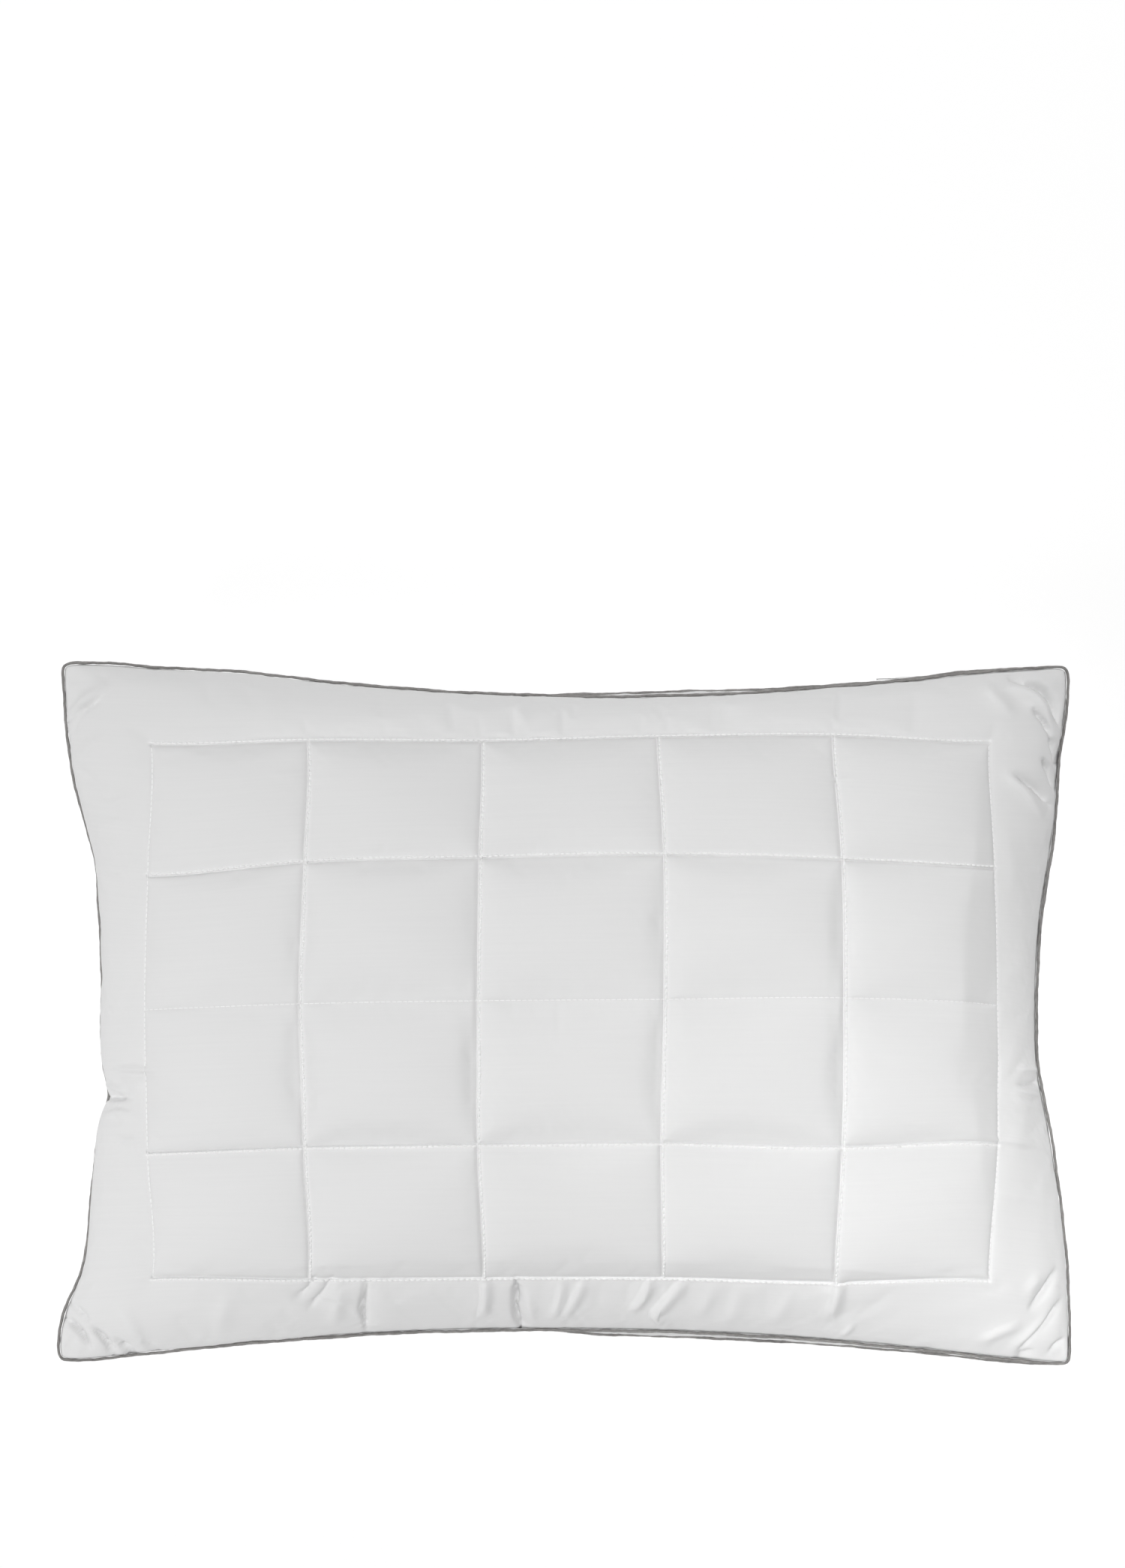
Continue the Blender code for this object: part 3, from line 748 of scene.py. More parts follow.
def panel_start(face, u, v):
    """A panel's shape before the cloth settles, with its plan, envelope and gaps to the sewn lines."""
    front = face == "front"
    ring = RINGS[face]
    plan, column_x, row_y = lay_out(ring, u, v, 1.0 if front else REAR_DRIFT)
    share = envelope(ring, plan, u, v)
    gaps = line_gaps(plan, column_x, row_y)
    x, y = plan[..., 0], plan[..., 1]
    lift = seam_lift(x, y, face) * (1 - share) ** 2
    sewn = valley(gaps) * step(0, 0.5, share) - puff(u, v, FRONT_PUFF if front else REAR_PUFF)
    uneven = UNEVEN * lumps(SEEDS[face]["lumps"], x, y, UNEVEN_SIZE) * share
    if front:
        height = FRONT_SEAM + PANEL_RISE + lift + (FRONT_CROWN - PANEL_RISE) * share - sewn + uneven
    else:
        room = 1 - REST_FULLNESS * share
        soft_room = (room + np.sqrt(room**2 + REST_SOFTNESS**2)) / 2
        height = REAR_SEAM - PANEL_RISE + lift - REAR_CROWN + (REAR_CROWN - PANEL_RISE) * soft_room
        height = height + sewn * REAR_SEWN
        height = height + uneven * REAR_UNEVEN + PANEL_RISE
    lean_out(face, ring, plan, u, v, share)
    return np.concatenate([plan, height[..., None]], axis=2), plan, share, gaps


def lean_out(face, ring, plan, u, v, share):
    """Moves the lower flank of a panel outward, so that it swells beside its piping."""
    bulge = BULGE if face == "front" else np.full(len(BULGE), REAR_BULGE)
    amount = np.sin(math.pi * np.clip(share / LEAN_REACH, 0, 1))
    x, y = plan[..., 0], plan[..., 1]
    bottom, right, top, left = sewn_edge(ring, u, v)
    past_level = [bottom[:, 1][:, None] - y, y - top[:, 1][:, None]]
    past_upright = [x - right[:, 0][None], left[:, 0][None] - x]
    past = np.stack([past_level[0], past_upright[0], past_level[1], past_upright[1]])
    near = np.exp(past / SIDE_BLEND)
    near /= near.sum(axis=0)
    for number, way in enumerate(((0, -1), (1, 0), (0, 1), (-1, 0))):
        level = way[0] == 0
        shift = ring.side(SIDE_NAMES[number], u if level else v, 0, bulge)
        shift = shift[:, None] if level else shift[None]
        plan += (near[number] * shift * amount)[..., None] * np.array(way)


def sewn_points(gaps):
    """Which points of a coarse grid the sewing holds: the edge and the quilting lines."""
    columns, rows = gaps
    sewn = np.minimum.reduce([*columns, *rows]) < HELD_WITHIN
    sewn[0] = sewn[-1] = True
    sewn[:, 0] = sewn[:, -1] = True
    return sewn


def read_grid(grid, from_u, from_v, u, v):
    """A grid read smoothly at other shares."""
    for shares, wanted in ((from_u, u), (from_v, v)):
        number = np.arange(len(shares))
        grid = smooth(number, grid, np.interp(wanted, shares, number)).transpose(1, 0, 2)
    return grid


def grid_normals(grid):
    """The direction straight out of the grid at each point, on its +Z side."""
    along_u = np.gradient(grid, axis=0)
    along_v = np.gradient(grid, axis=1)
    return unit(np.cross(along_u, along_v))


NEEDLE_DEPTH = 0.25 * MM
NEEDLE_WIDTH = 1.1 * MM
PUCKER_HEIGHT = 0.09 * MM
PUCKER_REACH = 6 * MM


def needle_marks(gaps, plan, seed):
    """Small dimples at the needle holes and faint puckers that run off the sewn lines."""
    columns, rows = gaps
    x, y = plan[..., 0], plan[..., 1]
    total = np.zeros_like(x)
    for n, (gap, along) in enumerate([(g, y) for g in columns] + [(g, x) for g in rows]):
        holes = 0.5 + 0.5 * np.cos(2 * math.pi * along / STITCH_PITCH)
        total -= NEEDLE_DEPTH * np.exp(-((gap / NEEDLE_WIDTH) ** 2)) * (0.6 + 0.4 * holes)
        pucker = waves(seed + n, along, (0.011, 0.017, 0.029), (0.5, 0.6, 0.6))
        strength = np.clip(waves(seed + 40 + n, along, (0.09, 0.21), (0.6, 0.6)) + 0.4, 0, 1.5)
        fading = np.exp(-gap / PUCKER_REACH) * step(0, 2 * MM, gap)
        total += PUCKER_HEIGHT * pucker * strength * fading
    return total


def raised_highlight_strips(u, v):
    """1 on the strip beside each crease, which the relief raises and the cotton paints lighter as a painted
    highlight, 0 elsewhere.
    """
    total = np.zeros((len(u), len(v)))
    for axis, (across, along, half) in enumerate(((u, v, HALF_LENGTH), (v, u, HALF_WIDTH))):
        places, sides, _ = SEWN_LINES[axis]
        ends = SEWN_LINES[1 - axis][0]
        within = step(ends[0] - 0.01, ends[0], along) * (1 - step(ends[-1], ends[-1] + 0.01, along))
        for place, side in zip(places, sides, strict=True):
            gap = side * (across - place) * half
            strip = abs(side) * np.exp(-(((gap - STRIP_MIDDLE) / STRIP_WIDTH) ** 2))
            one = strip[:, None] * within[None]
            total = np.maximum(total, one.T if axis else one)
    return total


def panel_shares(wide, narrow, column_zones=(), row_zones=()):
    """Where a panel's grid lines lie along its length and its width."""
    u = grid_shares(COLUMN_SHARES, HALF_LENGTH, wide, narrow, column_zones)
    v = grid_shares(ROW_SHARES, HALF_WIDTH, wide, narrow, row_zones)
    return u, v


def settled_move(face):
    """How far a panel's cloth moves as it settles, on a coarse grid, with that grid's shares."""
    u, v = panel_shares(COARSE[face], 0.7 * COARSE[face])
    start, _, _, gaps = panel_start(face, u, v)
    moved = settle(face, start, sewn_points(gaps)) - start
    size = np.linalg.norm(moved, axis=2, keepdims=True)
    return moved * np.minimum(1, LARGEST_MOVE / np.maximum(size, 1e-9)), u, v


def panel_relief(face, plan, gaps, share, strip_rise_and_highlight):
    """What the needle, the raised strips beside the creases and, in front, the folds add to the settled
    cloth.
    """
    relief = needle_marks(gaps, plan, SEEDS[face]["needle"]) + STRIP_RISE * strip_rise_and_highlight
    if face == "front":
        for fold in FRONT_FOLDS:
            relief += fold_height(plan, *fold)
    return relief * step(0, 0.05, share)


def make_panel(face):
    """One quilted panel, from layout to final mesh. Returns the object, its grid and its shares."""
    moved, coarse_u, coarse_v = settled_move(face)
    u, v = panel_shares(*FINE[face], *((COLUMN_ZONES, ROW_ZONES) if face == "front" else ()))
    grid, plan, share, gaps = panel_start(face, u, v)
    grid = grid + read_grid(moved, coarse_u, coarse_v, u, v)
    strip_rise_and_highlight = raised_highlight_strips(u, v)
    relief = panel_relief(face, plan, gaps, share, strip_rise_and_highlight)
    grid = grid + FACING[face] * relief[..., None] * grid_normals(grid)
    if face == "rear":
        grid[..., 2] = np.maximum(grid[..., 2], 0.0)
    flat = np.stack(np.meshgrid(u * HALF_LENGTH, v * HALF_WIDTH, indexing="ij"), axis=2)
    return close_panel(face, grid, flat, strip_rise_and_highlight), grid, u, v


def outline(nu, nv):
    """The indices of a grid's outer points, in order, anticlockwise as seen from +Z."""
    bottom = [i * nv for i in range(nu)]
    right = [(nu - 1) * nv + j for j in range(1, nv)]
    top = [i * nv + nv - 1 for i in range(nu - 2, -1, -1)]
    left = list(range(nv - 2, 0, -1))
    return bottom + right + top + left


def close_panel(face, grid, flat, strip_rise_and_highlight):
    """The panel's object, closed behind by a shallow cone that lies hidden inside the pillow."""
    front = face == "front"
    nu, nv, _ = grid.shape
    rim = outline(nu, nv)
    tip = grid.reshape(-1, 3)[rim, 2].mean() - FACING[face] * CONE_DEPTH
    pairs = zip(rim, rim[1:] + rim[:1], strict=True)
    cone = [(after, here, nu * nv) if front else (here, after, nu * nv) for here, after in pairs]
    points = np.concatenate([grid.reshape(-1, 3), [[0, 0, tip]]])
    places = np.concatenate([flat.reshape(-1, 2), [[0, 0]]])
    obj = make_object(face + "_panel", points, [*grid_faces(nu, nv, not front), *cone], places)
    smooth_faces = np.ones(len(obj.data.polygons), bool)
    smooth_faces[-len(cone) :] = False
    obj.data.polygons.foreach_set("use_smooth", smooth_faces)
    # The strip mask, kept for the cotton's painted highlight beside each crease.
    layer = obj.data.attributes.new("StripPaintedHighlight", "FLOAT", "POINT")
    layer.data.foreach_set("value", np.append(strip_rise_and_highlight.ravel(), 0).astype(np.float32))
    return obj


# ---------------------------------------------------------------- piping, gusset and sewing


PIPING_STEP = 1.6 * MM  # between the rings of a piping's mesh
PIPING_SIDES = 12
PUCKER_PITCH = 5.2 * MM


def make_piping(face):
    """The grey satin piping along a seam: a cord under a bias strip that the sewing puckers."""
    seed = SEEDS[face]["seam"]
    bead = PIPING_SHARE * BEAD
    centre, at = RINGS[face].every(PIPING_STEP, bead)
    lift = seam_lift(centre[:, 0], centre[:, 1], face)
    sway = waves(seed, at, (0.013, 0.037, 0.11), (0.10, 0.16, 0.18)) * MM
    along = unit(np.roll(centre, -1, 0) - np.roll(centre, 1, 0))
    across = np.stack([along[:, 1], -along[:, 0], np.zeros(len(at))], axis=1)
    line = np.concatenate([centre, (SEAMS[face] + lift)[:, None]], axis=1) + sway[:, None] * across
    turn = np.linspace(0, 2 * math.pi, PIPING_SIDES, endpoint=False)
    pucker = 0.05 * np.sin(2 * math.pi * at[:, None] / PUCKER_PITCH + turn[None])
    swell = waves(seed + 9, at, (0.009, 0.024, 0.06), (0.03, 0.05, 0.05))[:, None]
    radius = bead * (1 + pucker + swell)
    circle = np.cos(turn)[None, :, None] * across[:, None] + np.sin(turn)[None, :, None] * np.array(UP)
    uv = np.stack(np.broadcast_arrays(at[:, None], (turn * bead)[None]), axis=2)
    faces = grid_faces(len(at), PIPING_SIDES, around=True, closed=True)
    return make_object(face + "_piping", line[:, None] + circle * radius[:, :, None], faces, uv)


GUSSET_STEP = 2.1 * MM  # between the columns of the gusset's mesh
GUSSET_ROWS = 18


def gusset_edges():
    """The gusset's two sewn edges, in step with each other round the pillow, and the way along them."""
    _, at = RINGS["front"].every(GUSSET_STEP, 0)
    index = np.arange(len(at)) / len(at) * len(RINGS["front"].line)
    edges = []
    for face, ring in RINGS.items():
        plan = ring.read(index, PANEL_INSET)
        lifted = SEAMS[face] + seam_lift(plan[:, 0], plan[:, 1], face)
        edges.append(np.concatenate([plan, lifted[:, None]], axis=1))
    return *edges, at


def make_gusset():
    """The band between the two pipings, swelling between them and gathered a little along both seams."""
    front, rear, at = gusset_edges()
    share = np.linspace(0, 1, GUSSET_ROWS)
    along = np.roll(front, -1, 0) - np.roll(front, 1, 0)
    outward = unit(np.stack([along[:, 1], -along[:, 0], np.zeros(len(at))], axis=1))
    peek = np.maximum(((rear - front) * outward).sum(axis=1), 0)
    gathers = waves(31, at, (0.008, 0.013, 0.021), (0.22, 0.28, 0.3))
    slow = waves(32, at, (0.05, 0.12), (0.2, 0.3))
    rows = []
    for s in share:
        belly = math.sin(math.pi * s) ** 0.7
        ripple = gathers * (1 - 0.65 * belly) * belly**0.3
        out = (0.6 * belly + ripple + slow * belly) * MM + 0.3 * peek * belly
        rows.append(rear * (1 - s) + front * s + out[:, None] * outward)
    grid = np.stack(rows, axis=1)
    uv = np.stack(np.broadcast_arrays(at[:, None], share[None] * (FRONT_SEAM - REAR_SEAM)), axis=2)
    return make_object("gusset", grid, grid_faces(len(at), GUSSET_ROWS, around=True), uv), grid


THREAD_SPREAD = 1.6  # the soft thread lies flat, this much wider than it is high
STITCH_SIDES = 6
# The rings of one stitch, which dives into the cloth at both ends: shares of its length, radius and dip.
STITCH_RINGS = ((0, 0.45, 1.0), (0.14, 0.95, 0.15), (0.5, 1.0, 0), (0.86, 0.95, 0.15), (1, 0.45, 1.0))
STITCH_POINTS = STITCH_SIDES * len(STITCH_RINGS)
STITCH_JITTER = 0.12 * MM


def stitch_points(start, end, normal, radius):
    """The points of one stitch between two places on the cloth."""
    along = unit(end - start)
    across = unit(np.cross(normal, along))
    up = np.cross(along, across)
    dip = 1.5 * radius
    turn = np.linspace(0, 2 * math.pi, STITCH_SIDES, endpoint=False)
    rings = []
    for share, size, drop in STITCH_RINGS:
        centre = start * (1 - share) + end * share - up * drop * dip
        ring = THREAD_SPREAD * np.cos(turn)[:, None] * across + np.sin(turn)[:, None] * up
        rings.append(centre + size * radius * ring)
    return np.concatenate(rings)


def stitch_faces():
    """The faces of one stitch: its wall and its two ends."""
    wall = grid_faces(len(STITCH_RINGS), STITCH_SIDES, closed=True)[:, [0, 3, 2, 1]]
    end = range(STITCH_SIDES)
    return [*wall.tolist(), [*reversed(end)], [STITCH_POINTS - STITCH_SIDES + s for s in end]]


def read_line(at, far, values):
    """Rows of values, one for each distance in far, read at another distance."""
    return np.array([np.interp(at, far, column) for column in values.T])


def make_stitches(name, lines, pitch=STITCH_PITCH, gap=0.35 * MM, seed=1):
    """A row of stitches on one or more lines. Each line is (points, normals, thread radius)."""
    random = np.random.default_rng(seed)
    shape = stitch_faces()
    points, faces = [], []
    for line, normals, radius in lines:
        far = distances(line)
        for n in range(int(far[-1] / pitch)):
            jitter = random.uniform(-1, 1, 2) * STITCH_JITTER
            ends = np.array([n * pitch, (n + 1) * pitch - gap]) + jitter
            normal = unit(read_line(ends.mean(), far, normals))
            start, end = (read_line(e, far, line) + normal * radius * 0.8 for e in ends)
            faces += [[len(points) * STITCH_POINTS + i for i in f] for f in shape]
            points.append(stitch_points(start, end, normal, radius))
    return make_object(name, np.concatenate(points), faces)


def panel_lines(surface, axis, front):
    """A panel's sewn lines, upright for axis 0 or level for axis 1, each read where its thread lies."""
    grid, normals, u, v = surface
    across, along = (u, v) if axis == 0 else (v, u)
    if axis == 1:
        grid, normals = grid.transpose(1, 0, 2), normals.transpose(1, 0, 2)
    places, sides, radii = SEWN_LINES[axis]
    ends = SEWN_LINES[1 - axis][0]
    chosen = (along > ends[0] - 1e-6) & (along < ends[-1] + 1e-6)
    lines = []
    for place, side, radius in zip(places, sides, radii, strict=True):
        line = int(abs(across - place).argmin()) + (side * THREAD_LINES if front else 0)
        lines.append((grid[line, chosen], normals[line, chosen], radius * MM))
    return lines


def quilt_stitches(face, grid, u, v):
    """The quilting thread of one panel, one piece for each CAD thread."""
    surface = (grid, FACING[face] * grid_normals(grid), u, v)
    upright, level = (panel_lines(surface, axis, face == "front") for axis in (0, 1))
    frame_lines = [upright[0], upright[-1], level[0], level[-1]]
    made = {"frame_thread": make_stitches(face + "_frame_stitches", frame_lines, seed=21)}
    for kind, lines, seed in (("column", upright, 21), ("row", level, 31)):
        for n, line in enumerate(lines[1:-1], 1):
            name = f"{face}_{kind}_stitches_{n}"
            made[f"{kind}_thread_{n}"] = make_stitches(name, [line], seed=seed + n)
    return made


CLOSING_ROW = 4  # of the gusset's grid, counted from the rear seam


def closing_stitches(gusset_grid):
    """Small slanted stitches where the filling opening was sewn shut, on the -X side of the gusset."""
    low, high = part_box("closing_seam_thread")
    line = gusset_grid[:, CLOSING_ROW]
    points = line[(line[:, 0] < 0) & (line[:, 1] > low.y) & (line[:, 1] < high.y)]
    points = points[points[:, 1].argsort()]
    sway = np.where(np.arange(len(points)) % 2, 0.5, -0.5)[:, None] * MM * np.array(UP)
    outward = np.tile([-1.0, 0.0, 0.0], (len(points), 1))
    line = (points + sway, outward, 0.36 * MM)
    return make_stitches("closing_stitches", [line], pitch=4.2 * MM, gap=1.1 * MM, seed=61)


LABEL_COLUMNS = 29
LABEL_ROWS = 21  # down one half of the label
LABEL_FOLD_ROWS = 5  # round its fold


def make_label():
    """The blank care label: a satin strip folded in half, with its raw ends in the rear seam."""
    low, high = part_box("care_label")
    width, drop = high.x - low.x, high.z - low.z
    across = np.linspace(0, 1, LABEL_COLUMNS)
    down = np.linspace(0, 1, LABEL_ROWS)
    turn = np.linspace(0, 1, LABEL_FOLD_ROWS + 2)[1:-1]
    half = np.concatenate([down, 1 + 0.03 * np.sin(math.pi * turn), down[::-1]])
    layer = np.concatenate([np.zeros(LABEL_ROWS), turn, np.ones(LABEL_ROWS)])
    s, t = np.meshgrid(across, half, indexing="ij")
    curl = 2.2 * MM * t**2 * np.sin(math.pi * (0.15 + 0.8 * s)) + 0.5 * MM * np.sin(7 * s + 3 * t) * t
    apart = 0.9 * MM * (0.5 - layer[None]) * (0.25 + 0.75 * np.minimum(t, 1))
    x = low.x + width * s + 0.6 * MM * t * np.sin(5 * s)
    y = (low.y + high.y) / 2 + apart + curl - 0.6 * MM
    grid = np.stack([x, y, high.z - drop * t], axis=2)
    length = np.linspace(0, 2 * drop, len(half))
    uv = np.stack(np.meshgrid(across * width, length, indexing="ij"), axis=2)
    obj = make_object("care_label_strip", grid, grid_faces(*grid.shape[:2]), uv)
    return obj, width, 2 * drop


# ---------------------------------------------------------------- materials


class Nodes:
    """A small helper for writing a material's nodes."""

    def __init__(self, name):
        self.material = bpy.data.materials.new(name)
        self.material.use_nodes = True
        self.tree = self.material.node_tree
        self.shader = self.tree.nodes["Principled BSDF"]

    def put(self, value, socket):
        """Sets an input, or links it when the value is another node's output."""
        if isinstance(value, bpy.types.NodeSocket):
            self.tree.links.new(value, socket)
        else:
            socket.default_value = value

    def add(self, kind, **values):
        """A node, with values for its settings and for its inputs."""
        node = self.tree.nodes.new("ShaderNode" + kind)
        for key, value in values.items():
            if hasattr(node, key):
                setattr(node, key, value)
            else:
                self.put(value, node.inputs[key])
        return node

    def pattern(self, scale, turn=0.0):
        """Places on the flat cloth, scaled along and across it."""
        place = self.add("UVMap", uv_map="Pattern").outputs["UV"]
        return self.add("Mapping", Vector=place, Rotation=(0, 0, turn), Scale=(*scale, 1)).outputs["Vector"]

    def space(self, scale):
        """Places in the pillow's own frame, in metres."""
        place = self.add("TexCoord").outputs["Object"]
        return self.add("Mapping", Vector=place, Scale=scale).outputs["Vector"]

    def noise(self, vector, detail=2.0, roughness=0.5):
        node = self.add("TexNoise", Vector=vector, Scale=1.0, Detail=detail, Roughness=roughness)
        return node.outputs["Fac"]

    def wave(self, vector, scale, direction="X", distortion=0.0):
        look = {"wave_type": "BANDS", "bands_direction": direction, "wave_profile": "SIN"}
        return self.add("TexWave", Vector=vector, Scale=scale, Distortion=distortion, **look).outputs["Fac"]

    def math(self, operation, a, b):
        node = self.add("Math", operation=operation)
        self.put(a, node.inputs[0])
        self.put(b, node.inputs[1])
        return node.outputs["Value"]

    def ramp(self, fac, low, high):
        """A colour between low and high as fac goes from 0.3 to 0.7."""
        node = self.add("ValToRGB", Fac=fac)
        for element, place, colour in zip(node.color_ramp.elements, (0.3, 0.7), (low, high), strict=True):
            element.position = place
            element.color = (*colour, 1)
        return node.outputs["Color"]

    def bump(self, height, distance, strength):
        node = self.add("Bump", Strength=strength, Distance=distance, Height=height)
        self.put(node.outputs["Normal"], self.shader.inputs["Normal"])

    def set(self, **values):
        """The shader's inputs, with _ for each space in a name."""
        for key, value in values.items():
            self.put(value, self.shader.inputs[key.replace("_", " ")])

    def mix(self, a, b, share):
        """Two patterns added together, the first by its share and the second by the rest."""
        return self.math("ADD", self.math("MULTIPLY", a, share), self.math("MULTIPLY", b, 1 - share))

    def rough(self, fac, spread, least):
        """Roughness from least up to least + spread, as fac goes from 0 to 1."""
        self.set(Roughness=self.math("ADD", self.math("MULTIPLY", fac, spread), least))

    def cloth(self, specular, sheen, sheen_roughness):
        """The last settings of a cloth. Returns the material."""
        self.set(Specular_IOR_Level=specular, Sheen_Weight=sheen, Sheen_Roughness=sheen_roughness)
        return self.material


COLOUR_A, COLOUR_B = 6, 7  # the colour inputs of a Mix node
COLOUR_MIXED = 2  # and its colour output


def cotton_material():
    """Fine white cotton percale with a faint lengthwise streak in its weft, and a painted highlight on the
    strip beside each crease.
    """
    n = Nodes("white_cotton_percale")
    streaks = n.noise(n.pattern((14, 620)), detail=3)
    clouds = n.noise(n.pattern((5, 5)))
    cloth = n.ramp(n.mix(streaks, clouds, 0.6), (0.79, 0.79, 0.791), (0.812, 0.812, 0.811))
    # Painted highlight: the strip beside each crease is mixed towards a lighter white that stands in for
    # the light it catches.
    strip_rise_and_highlight = n.add("Attribute", attribute_name="StripPaintedHighlight").outputs["Fac"]
    blend = n.add("Mix", data_type="RGBA", Factor=strip_rise_and_highlight)
    n.put(cloth, blend.inputs[COLOUR_A])
    n.put((0.95, 0.95, 0.95, 1), blend.inputs[COLOUR_B])
    n.set(Base_Color=blend.outputs[COLOUR_MIXED])
    weave = n.mix(n.wave(n.pattern((1, 1)), 330, "X"), n.wave(n.pattern((1, 1)), 330, "Y"), 0.5)
    n.bump(n.math("ADD", n.math("MULTIPLY", weave, 0.5), n.math("MULTIPLY", streaks, 0.9)), 0.05 * MM, 0.6)
    n.rough(streaks, 0.16, 0.62)
    return n.cloth(0.3, 0.12, 0.45)


def piping_material():
    """Grey satin cut on the bias, with fine diagonal ribs and puckers that catch the light, and lighter
    colour on the puckers painted in as satin highlights.
    """
    n = Nodes("grey_satin_bias")
    ribs = n.wave(n.pattern((1, 1), turn=0.8), 420, "X", distortion=1.5)
    puckers_and_highlights = n.noise(n.pattern((260, 420), turn=0.6), detail=3, roughness=0.6)
    shade = n.mix(puckers_and_highlights, n.noise(n.pattern((22, 60))), 0.6)
    # Painted highlight: the grey lightens where the puckers rise, standing in for the satin's sheen.
    n.set(Base_Color=n.ramp(shade, (0.15, 0.145, 0.14), (0.33, 0.32, 0.31)))
    n.bump(n.math("ADD", n.math("MULTIPLY", ribs, 0.4), puckers_and_highlights), 0.22 * MM, 0.8)
    n.rough(puckers_and_highlights, 0.3, 0.28)
    return n.cloth(0.5, 0.1, 0.4)


def gusset_material():
    """White satin band; the short floating yarns of its weave are painted brighter in its colour, as
    painted glints.
    """
    n = Nodes("white_satin_band")
    floats_and_glints = n.noise(n.pattern((240, 700)), detail=3, roughness=0.65)
    shade = n.mix(floats_and_glints, n.noise(n.pattern((30, 70))), 0.7)
    # Painted glints: the colour runs from grey up to near white with the satin's floating yarns, standing
    # in for the light they catch.
    n.set(Base_Color=n.ramp(shade, (0.60, 0.60, 0.60), (0.86, 0.86, 0.86)))
    n.bump(floats_and_glints, 0.3 * MM, 0.7)
    n.rough(floats_and_glints, 0.3, 0.3)
    return n.cloth(0.5, 0.1, 0.4)


def thread_material(name, low, high):
    """Twisted sewing thread."""
    n = Nodes(name)
    shade = n.noise(n.space((60, 60, 60)))
    n.set(Base_Color=n.ramp(shade, low, high))
    n.bump(n.wave(n.space((900, 900, 900)), 1.0, "DIAGONAL", distortion=2.0), 0.08 * MM, 0.7)
    n.rough(shade, 0.2, 0.4)
    return n.cloth(0.45, 0.1, 0.5)


def label_material():
    """Blank white satin label, with fine ribs."""
    n = Nodes("label_white_satin")
    shade = n.noise(n.pattern((90, 900)))
    n.set(Base_Color=n.ramp(shade, (0.80, 0.80, 0.79), (0.87, 0.87, 0.86)))
    ribs = n.wave(n.pattern((1, 1)), 500, "Y")
    n.bump(n.math("ADD", n.math("MULTIPLY", ribs, 0.5), shade), 0.06 * MM, 0.6)
    n.rough(shade, 0.2, 0.25)
    return n.cloth(0.5, 0.1, 0.3)


def floor_material():
    """A plain pale studio floor, lit from within so that it reads white."""
    n = Nodes("studio_floor")
    n.set(Base_Color=(0.3, 0.3, 0.3, 1), Roughness=0.9, Specular_IOR_Level=0.1)
    n.set(Emission_Color=(1, 1, 1, 1), Emission_Strength=FLOOR_GLOW)
    return n.material


# ---------------------------------------------------------------- studio

CAMERA_LENS = 100
SENSOR_WIDTH = 36
PICTURE_SPAN = 3.0878 * HALF_LENGTH  # what the picture's height covers at the front piping
PILLOW_BELOW_MIDDLE = 0.1469  # of the picture's height
PILLOW_RIGHT_OF_MIDDLE = 0.0014
FLOOR_GLOW = 0.75
FLOOR_REACH = 15
SKY_ZENITH = 0.2
SKY_HORIZON = 0.04
KEY_STRENGTH = 1.34
KEY_SOFTNESS = 20  # degrees
SIDE_SIZE = 0.8
SIDES = [(21.3, (-2.2, -1.4, 1.5)), (14.4, (0, 2.6, 1.5))]  # (power, place)
POOL_SOFTNESS = 0.25
POOLS = [  # (power, place, aim, cone in degrees, blend)
    (50.0, (0.2, 0.45, 2.2), (0.27, -0.20, 0.1), 14, 0.9),
    (64.0, (0.42, -0.36, 2.2), (0.41, -0.21, 0.1), 14, 1.0),
    (23.0, (-0.30, -0.36, 2.2), (-0.24, -0.135, 0.1), 16, 1.0),
    (14.0, (0, 0.3, 2.2), (0.06, 0.17, 0.1), 20, 1.0),
    (29.0, (0.1, 0.4, 2.2), (0.15, -0.155, 0.1), 10, 1.0),
    (12.0, (0.9, 0.5, 2.0), (0.335, 0.16, 0.1), 12, 1.0),
]


def make_camera():
    """Straight above the pillow, with the shift that places it in the lower half of the picture."""
    data = bpy.data.cameras.new("camera")
    give(data, lens=CAMERA_LENS, sensor_fit="AUTO", sensor_width=SENSOR_WIDTH)
    give(data, shift_x=-PILLOW_RIGHT_OF_MIDDLE, shift_y=PILLOW_BELOW_MIDDLE)
    camera = new_object("camera", data)
    camera.location.z = FRONT_SEAM + PICTURE_SPAN * CAMERA_LENS / SENSOR_WIDTH
    bpy.context.scene.camera = camera


def make_light(name, kind, place, aim=(0, 0, 0), **settings):
    """A light at a place, turned towards its aim and unseen by the camera itself."""
    data = bpy.data.lights.new(name, kind)
    give(data, **settings)
    light = new_object(name, data)
    turn = (Vector(aim) - Vector(place)).to_track_quat("-Z", "Y").to_euler()
    give(light, location=place, rotation_euler=turn, visible_camera=False)


def make_lights():
    """A soft sun straight above, two side lights, and soft spots that even out the tones."""
    make_light("key", "SUN", (0, 0, 1), energy=KEY_STRENGTH, angle=math.radians(KEY_SOFTNESS))
    for n, (power, place) in enumerate(SIDES, 1):
        make_light(f"side_{n}", "AREA", place, energy=power, size=SIDE_SIZE)
    for n, (power, place, aim, cone, blend) in enumerate(POOLS, 1):
        shape = {"spot_size": math.radians(cone), "spot_blend": blend, "shadow_soft_size": POOL_SOFTNESS}
        make_light(f"pool_{n}", "SPOT", place, aim, energy=power, **shape)


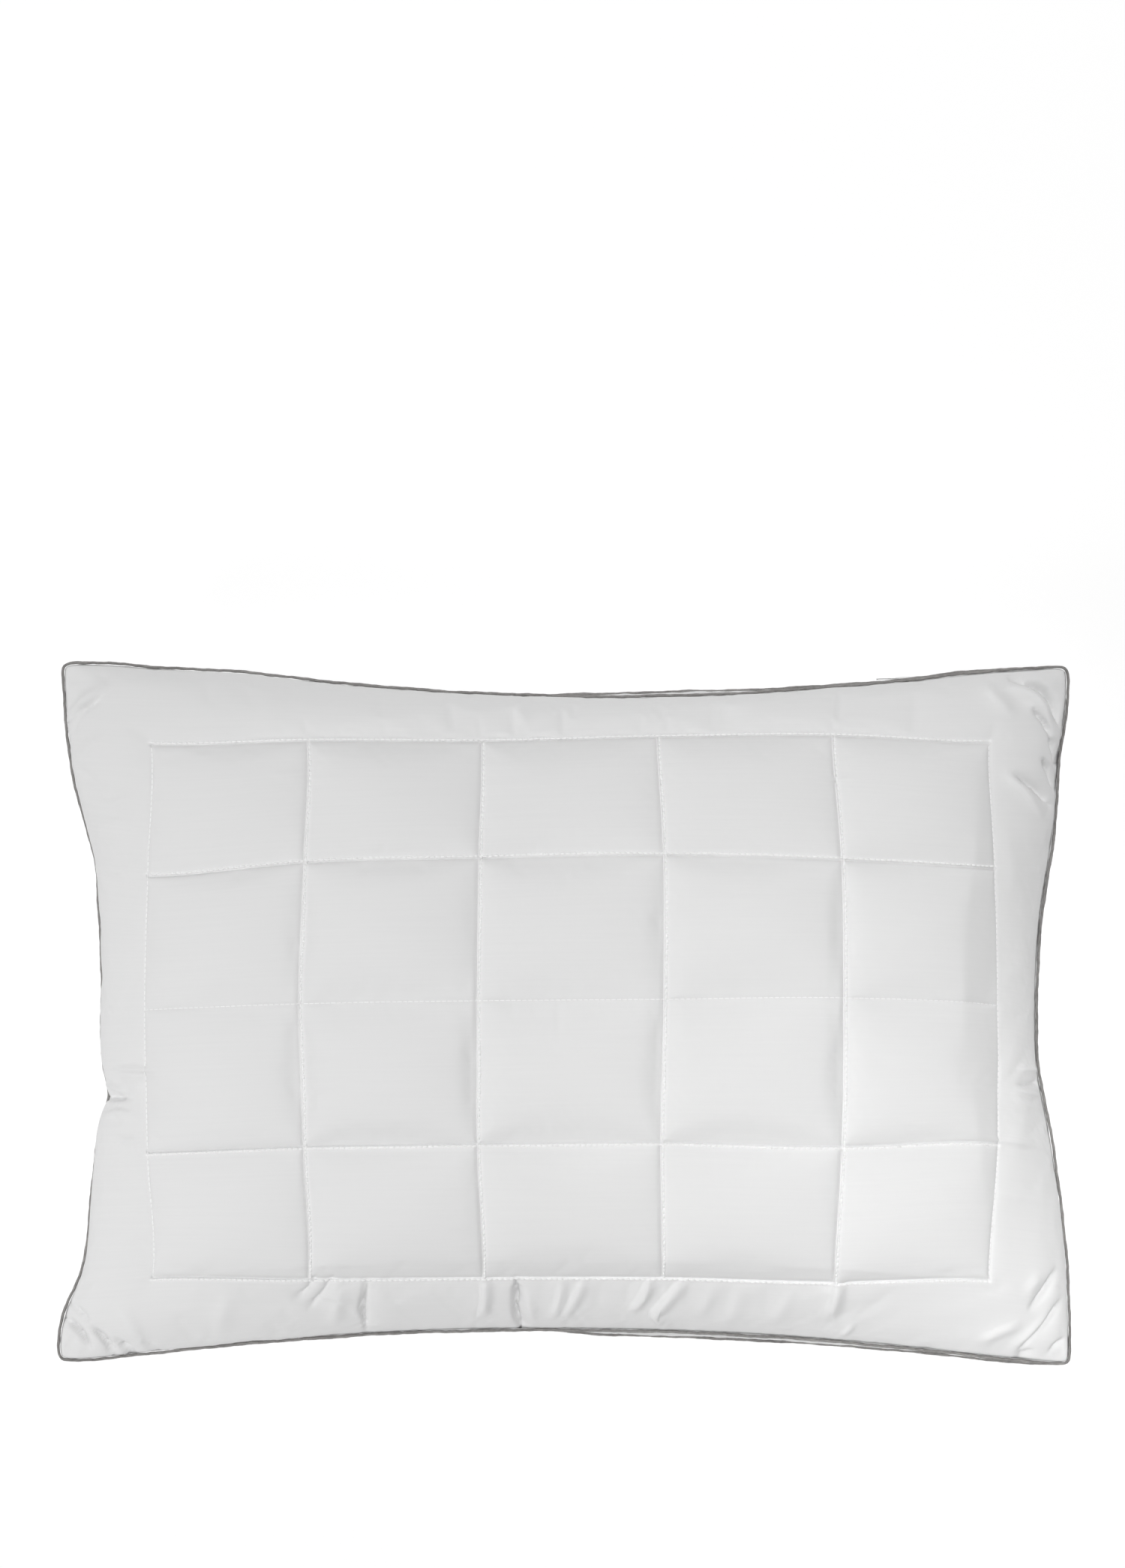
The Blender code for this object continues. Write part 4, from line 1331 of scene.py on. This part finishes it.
def make_sky():
    """Dim grey surroundings, darker towards the horizon."""
    world = bpy.data.worlds.new("studio")
    bpy.context.scene.world = world
    world.use_nodes = True
    tree = world.node_tree
    place = tree.nodes.new("ShaderNodeTexCoord")
    split = tree.nodes.new("ShaderNodeSeparateXYZ")
    ramp = tree.nodes.new("ShaderNodeMapRange")
    ramp.interpolation_type = "SMOOTHSTEP"
    reach = {"From Min": 0.1, "From Max": 0.5, "To Min": SKY_HORIZON, "To Max": SKY_ZENITH}
    for name, value in reach.items():
        ramp.inputs[name].default_value = value
    tree.links.new(place.outputs["Generated"], split.inputs["Vector"])
    tree.links.new(split.outputs["Z"], ramp.inputs["Value"])
    background = tree.nodes["Background"]
    background.inputs["Color"].default_value = (1, 1, 1, 1)
    tree.links.new(ramp.outputs["Result"], background.inputs["Strength"])


def make_floor():
    """A large floor just under the pillow."""
    corners = [(x * FLOOR_REACH, y * FLOOR_REACH, 0) for x, y in ((-1, -1), (1, -1), (1, 1), (-1, 1))]
    floor = make_object("studio_floor", corners, [(0, 1, 2, 3)])
    floor.location.z = -0.4 * MM
    floor.data.materials.append(floor_material())


def set_colour():
    """The picture's colours come out as they are lit, with no film curve."""
    give(bpy.context.scene.view_settings, view_transform="Standard", look="None", exposure=0, gamma=1)


# ---------------------------------------------------------------- putting it together


def finish_piece(obj, material, slot, *nodes):
    """Gives a piece its material and body, and hides the CAD nodes it stands for. The slot is not used."""
    obj.data.materials.append(material)
    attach(obj, "root")
    if nodes:
        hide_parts(*nodes)
    return obj


def build():
    """Makes every piece of the pillow."""
    cotton = cotton_material()
    satin = piping_material()
    quilt_thread = thread_material("white_quilting_thread", (0.95, 0.95, 0.95), (0.98, 0.98, 0.98))
    for face in ("front", "rear"):
        panel, grid, u, v = make_panel(face)
        layers = [f"{face}_{layer}" for layer in ("cover", "wadding", "lining")]
        if face == "rear":
            layers.append("fibre_fill")
        finish_piece(panel, cotton, "cover_fabric", *layers)
        for node, stitches in quilt_stitches(face, grid, u, v).items():
            finish_piece(stitches, quilt_thread, "quilt_thread", f"{face}_{node}")
        piping = make_piping(face)
        hidden = [f"{face}_piping_cover", f"{face}_piping_cord", f"{face}_seam_thread"]
        finish_piece(piping, satin, "piping_fabric", *hidden)
    gusset, gusset_grid = make_gusset()
    finish_piece(gusset, gusset_material(), "gusset_fabric", "gusset_band")
    length = float(np.linalg.norm(np.diff(gusset_grid[:, 0], axis=0), axis=1).sum())
    sewing = thread_material("white_sewing_thread", (0.76, 0.76, 0.75), (0.86, 0.86, 0.85))
    finish_piece(closing_stitches(gusset_grid), sewing, "seam_thread", "closing_seam_thread")
    label, width, length = make_label()
    finish_piece(label, label_material(), "label_satin", "care_label")


set_colour()
make_camera()
make_sky()
make_lights()
make_floor()
build()
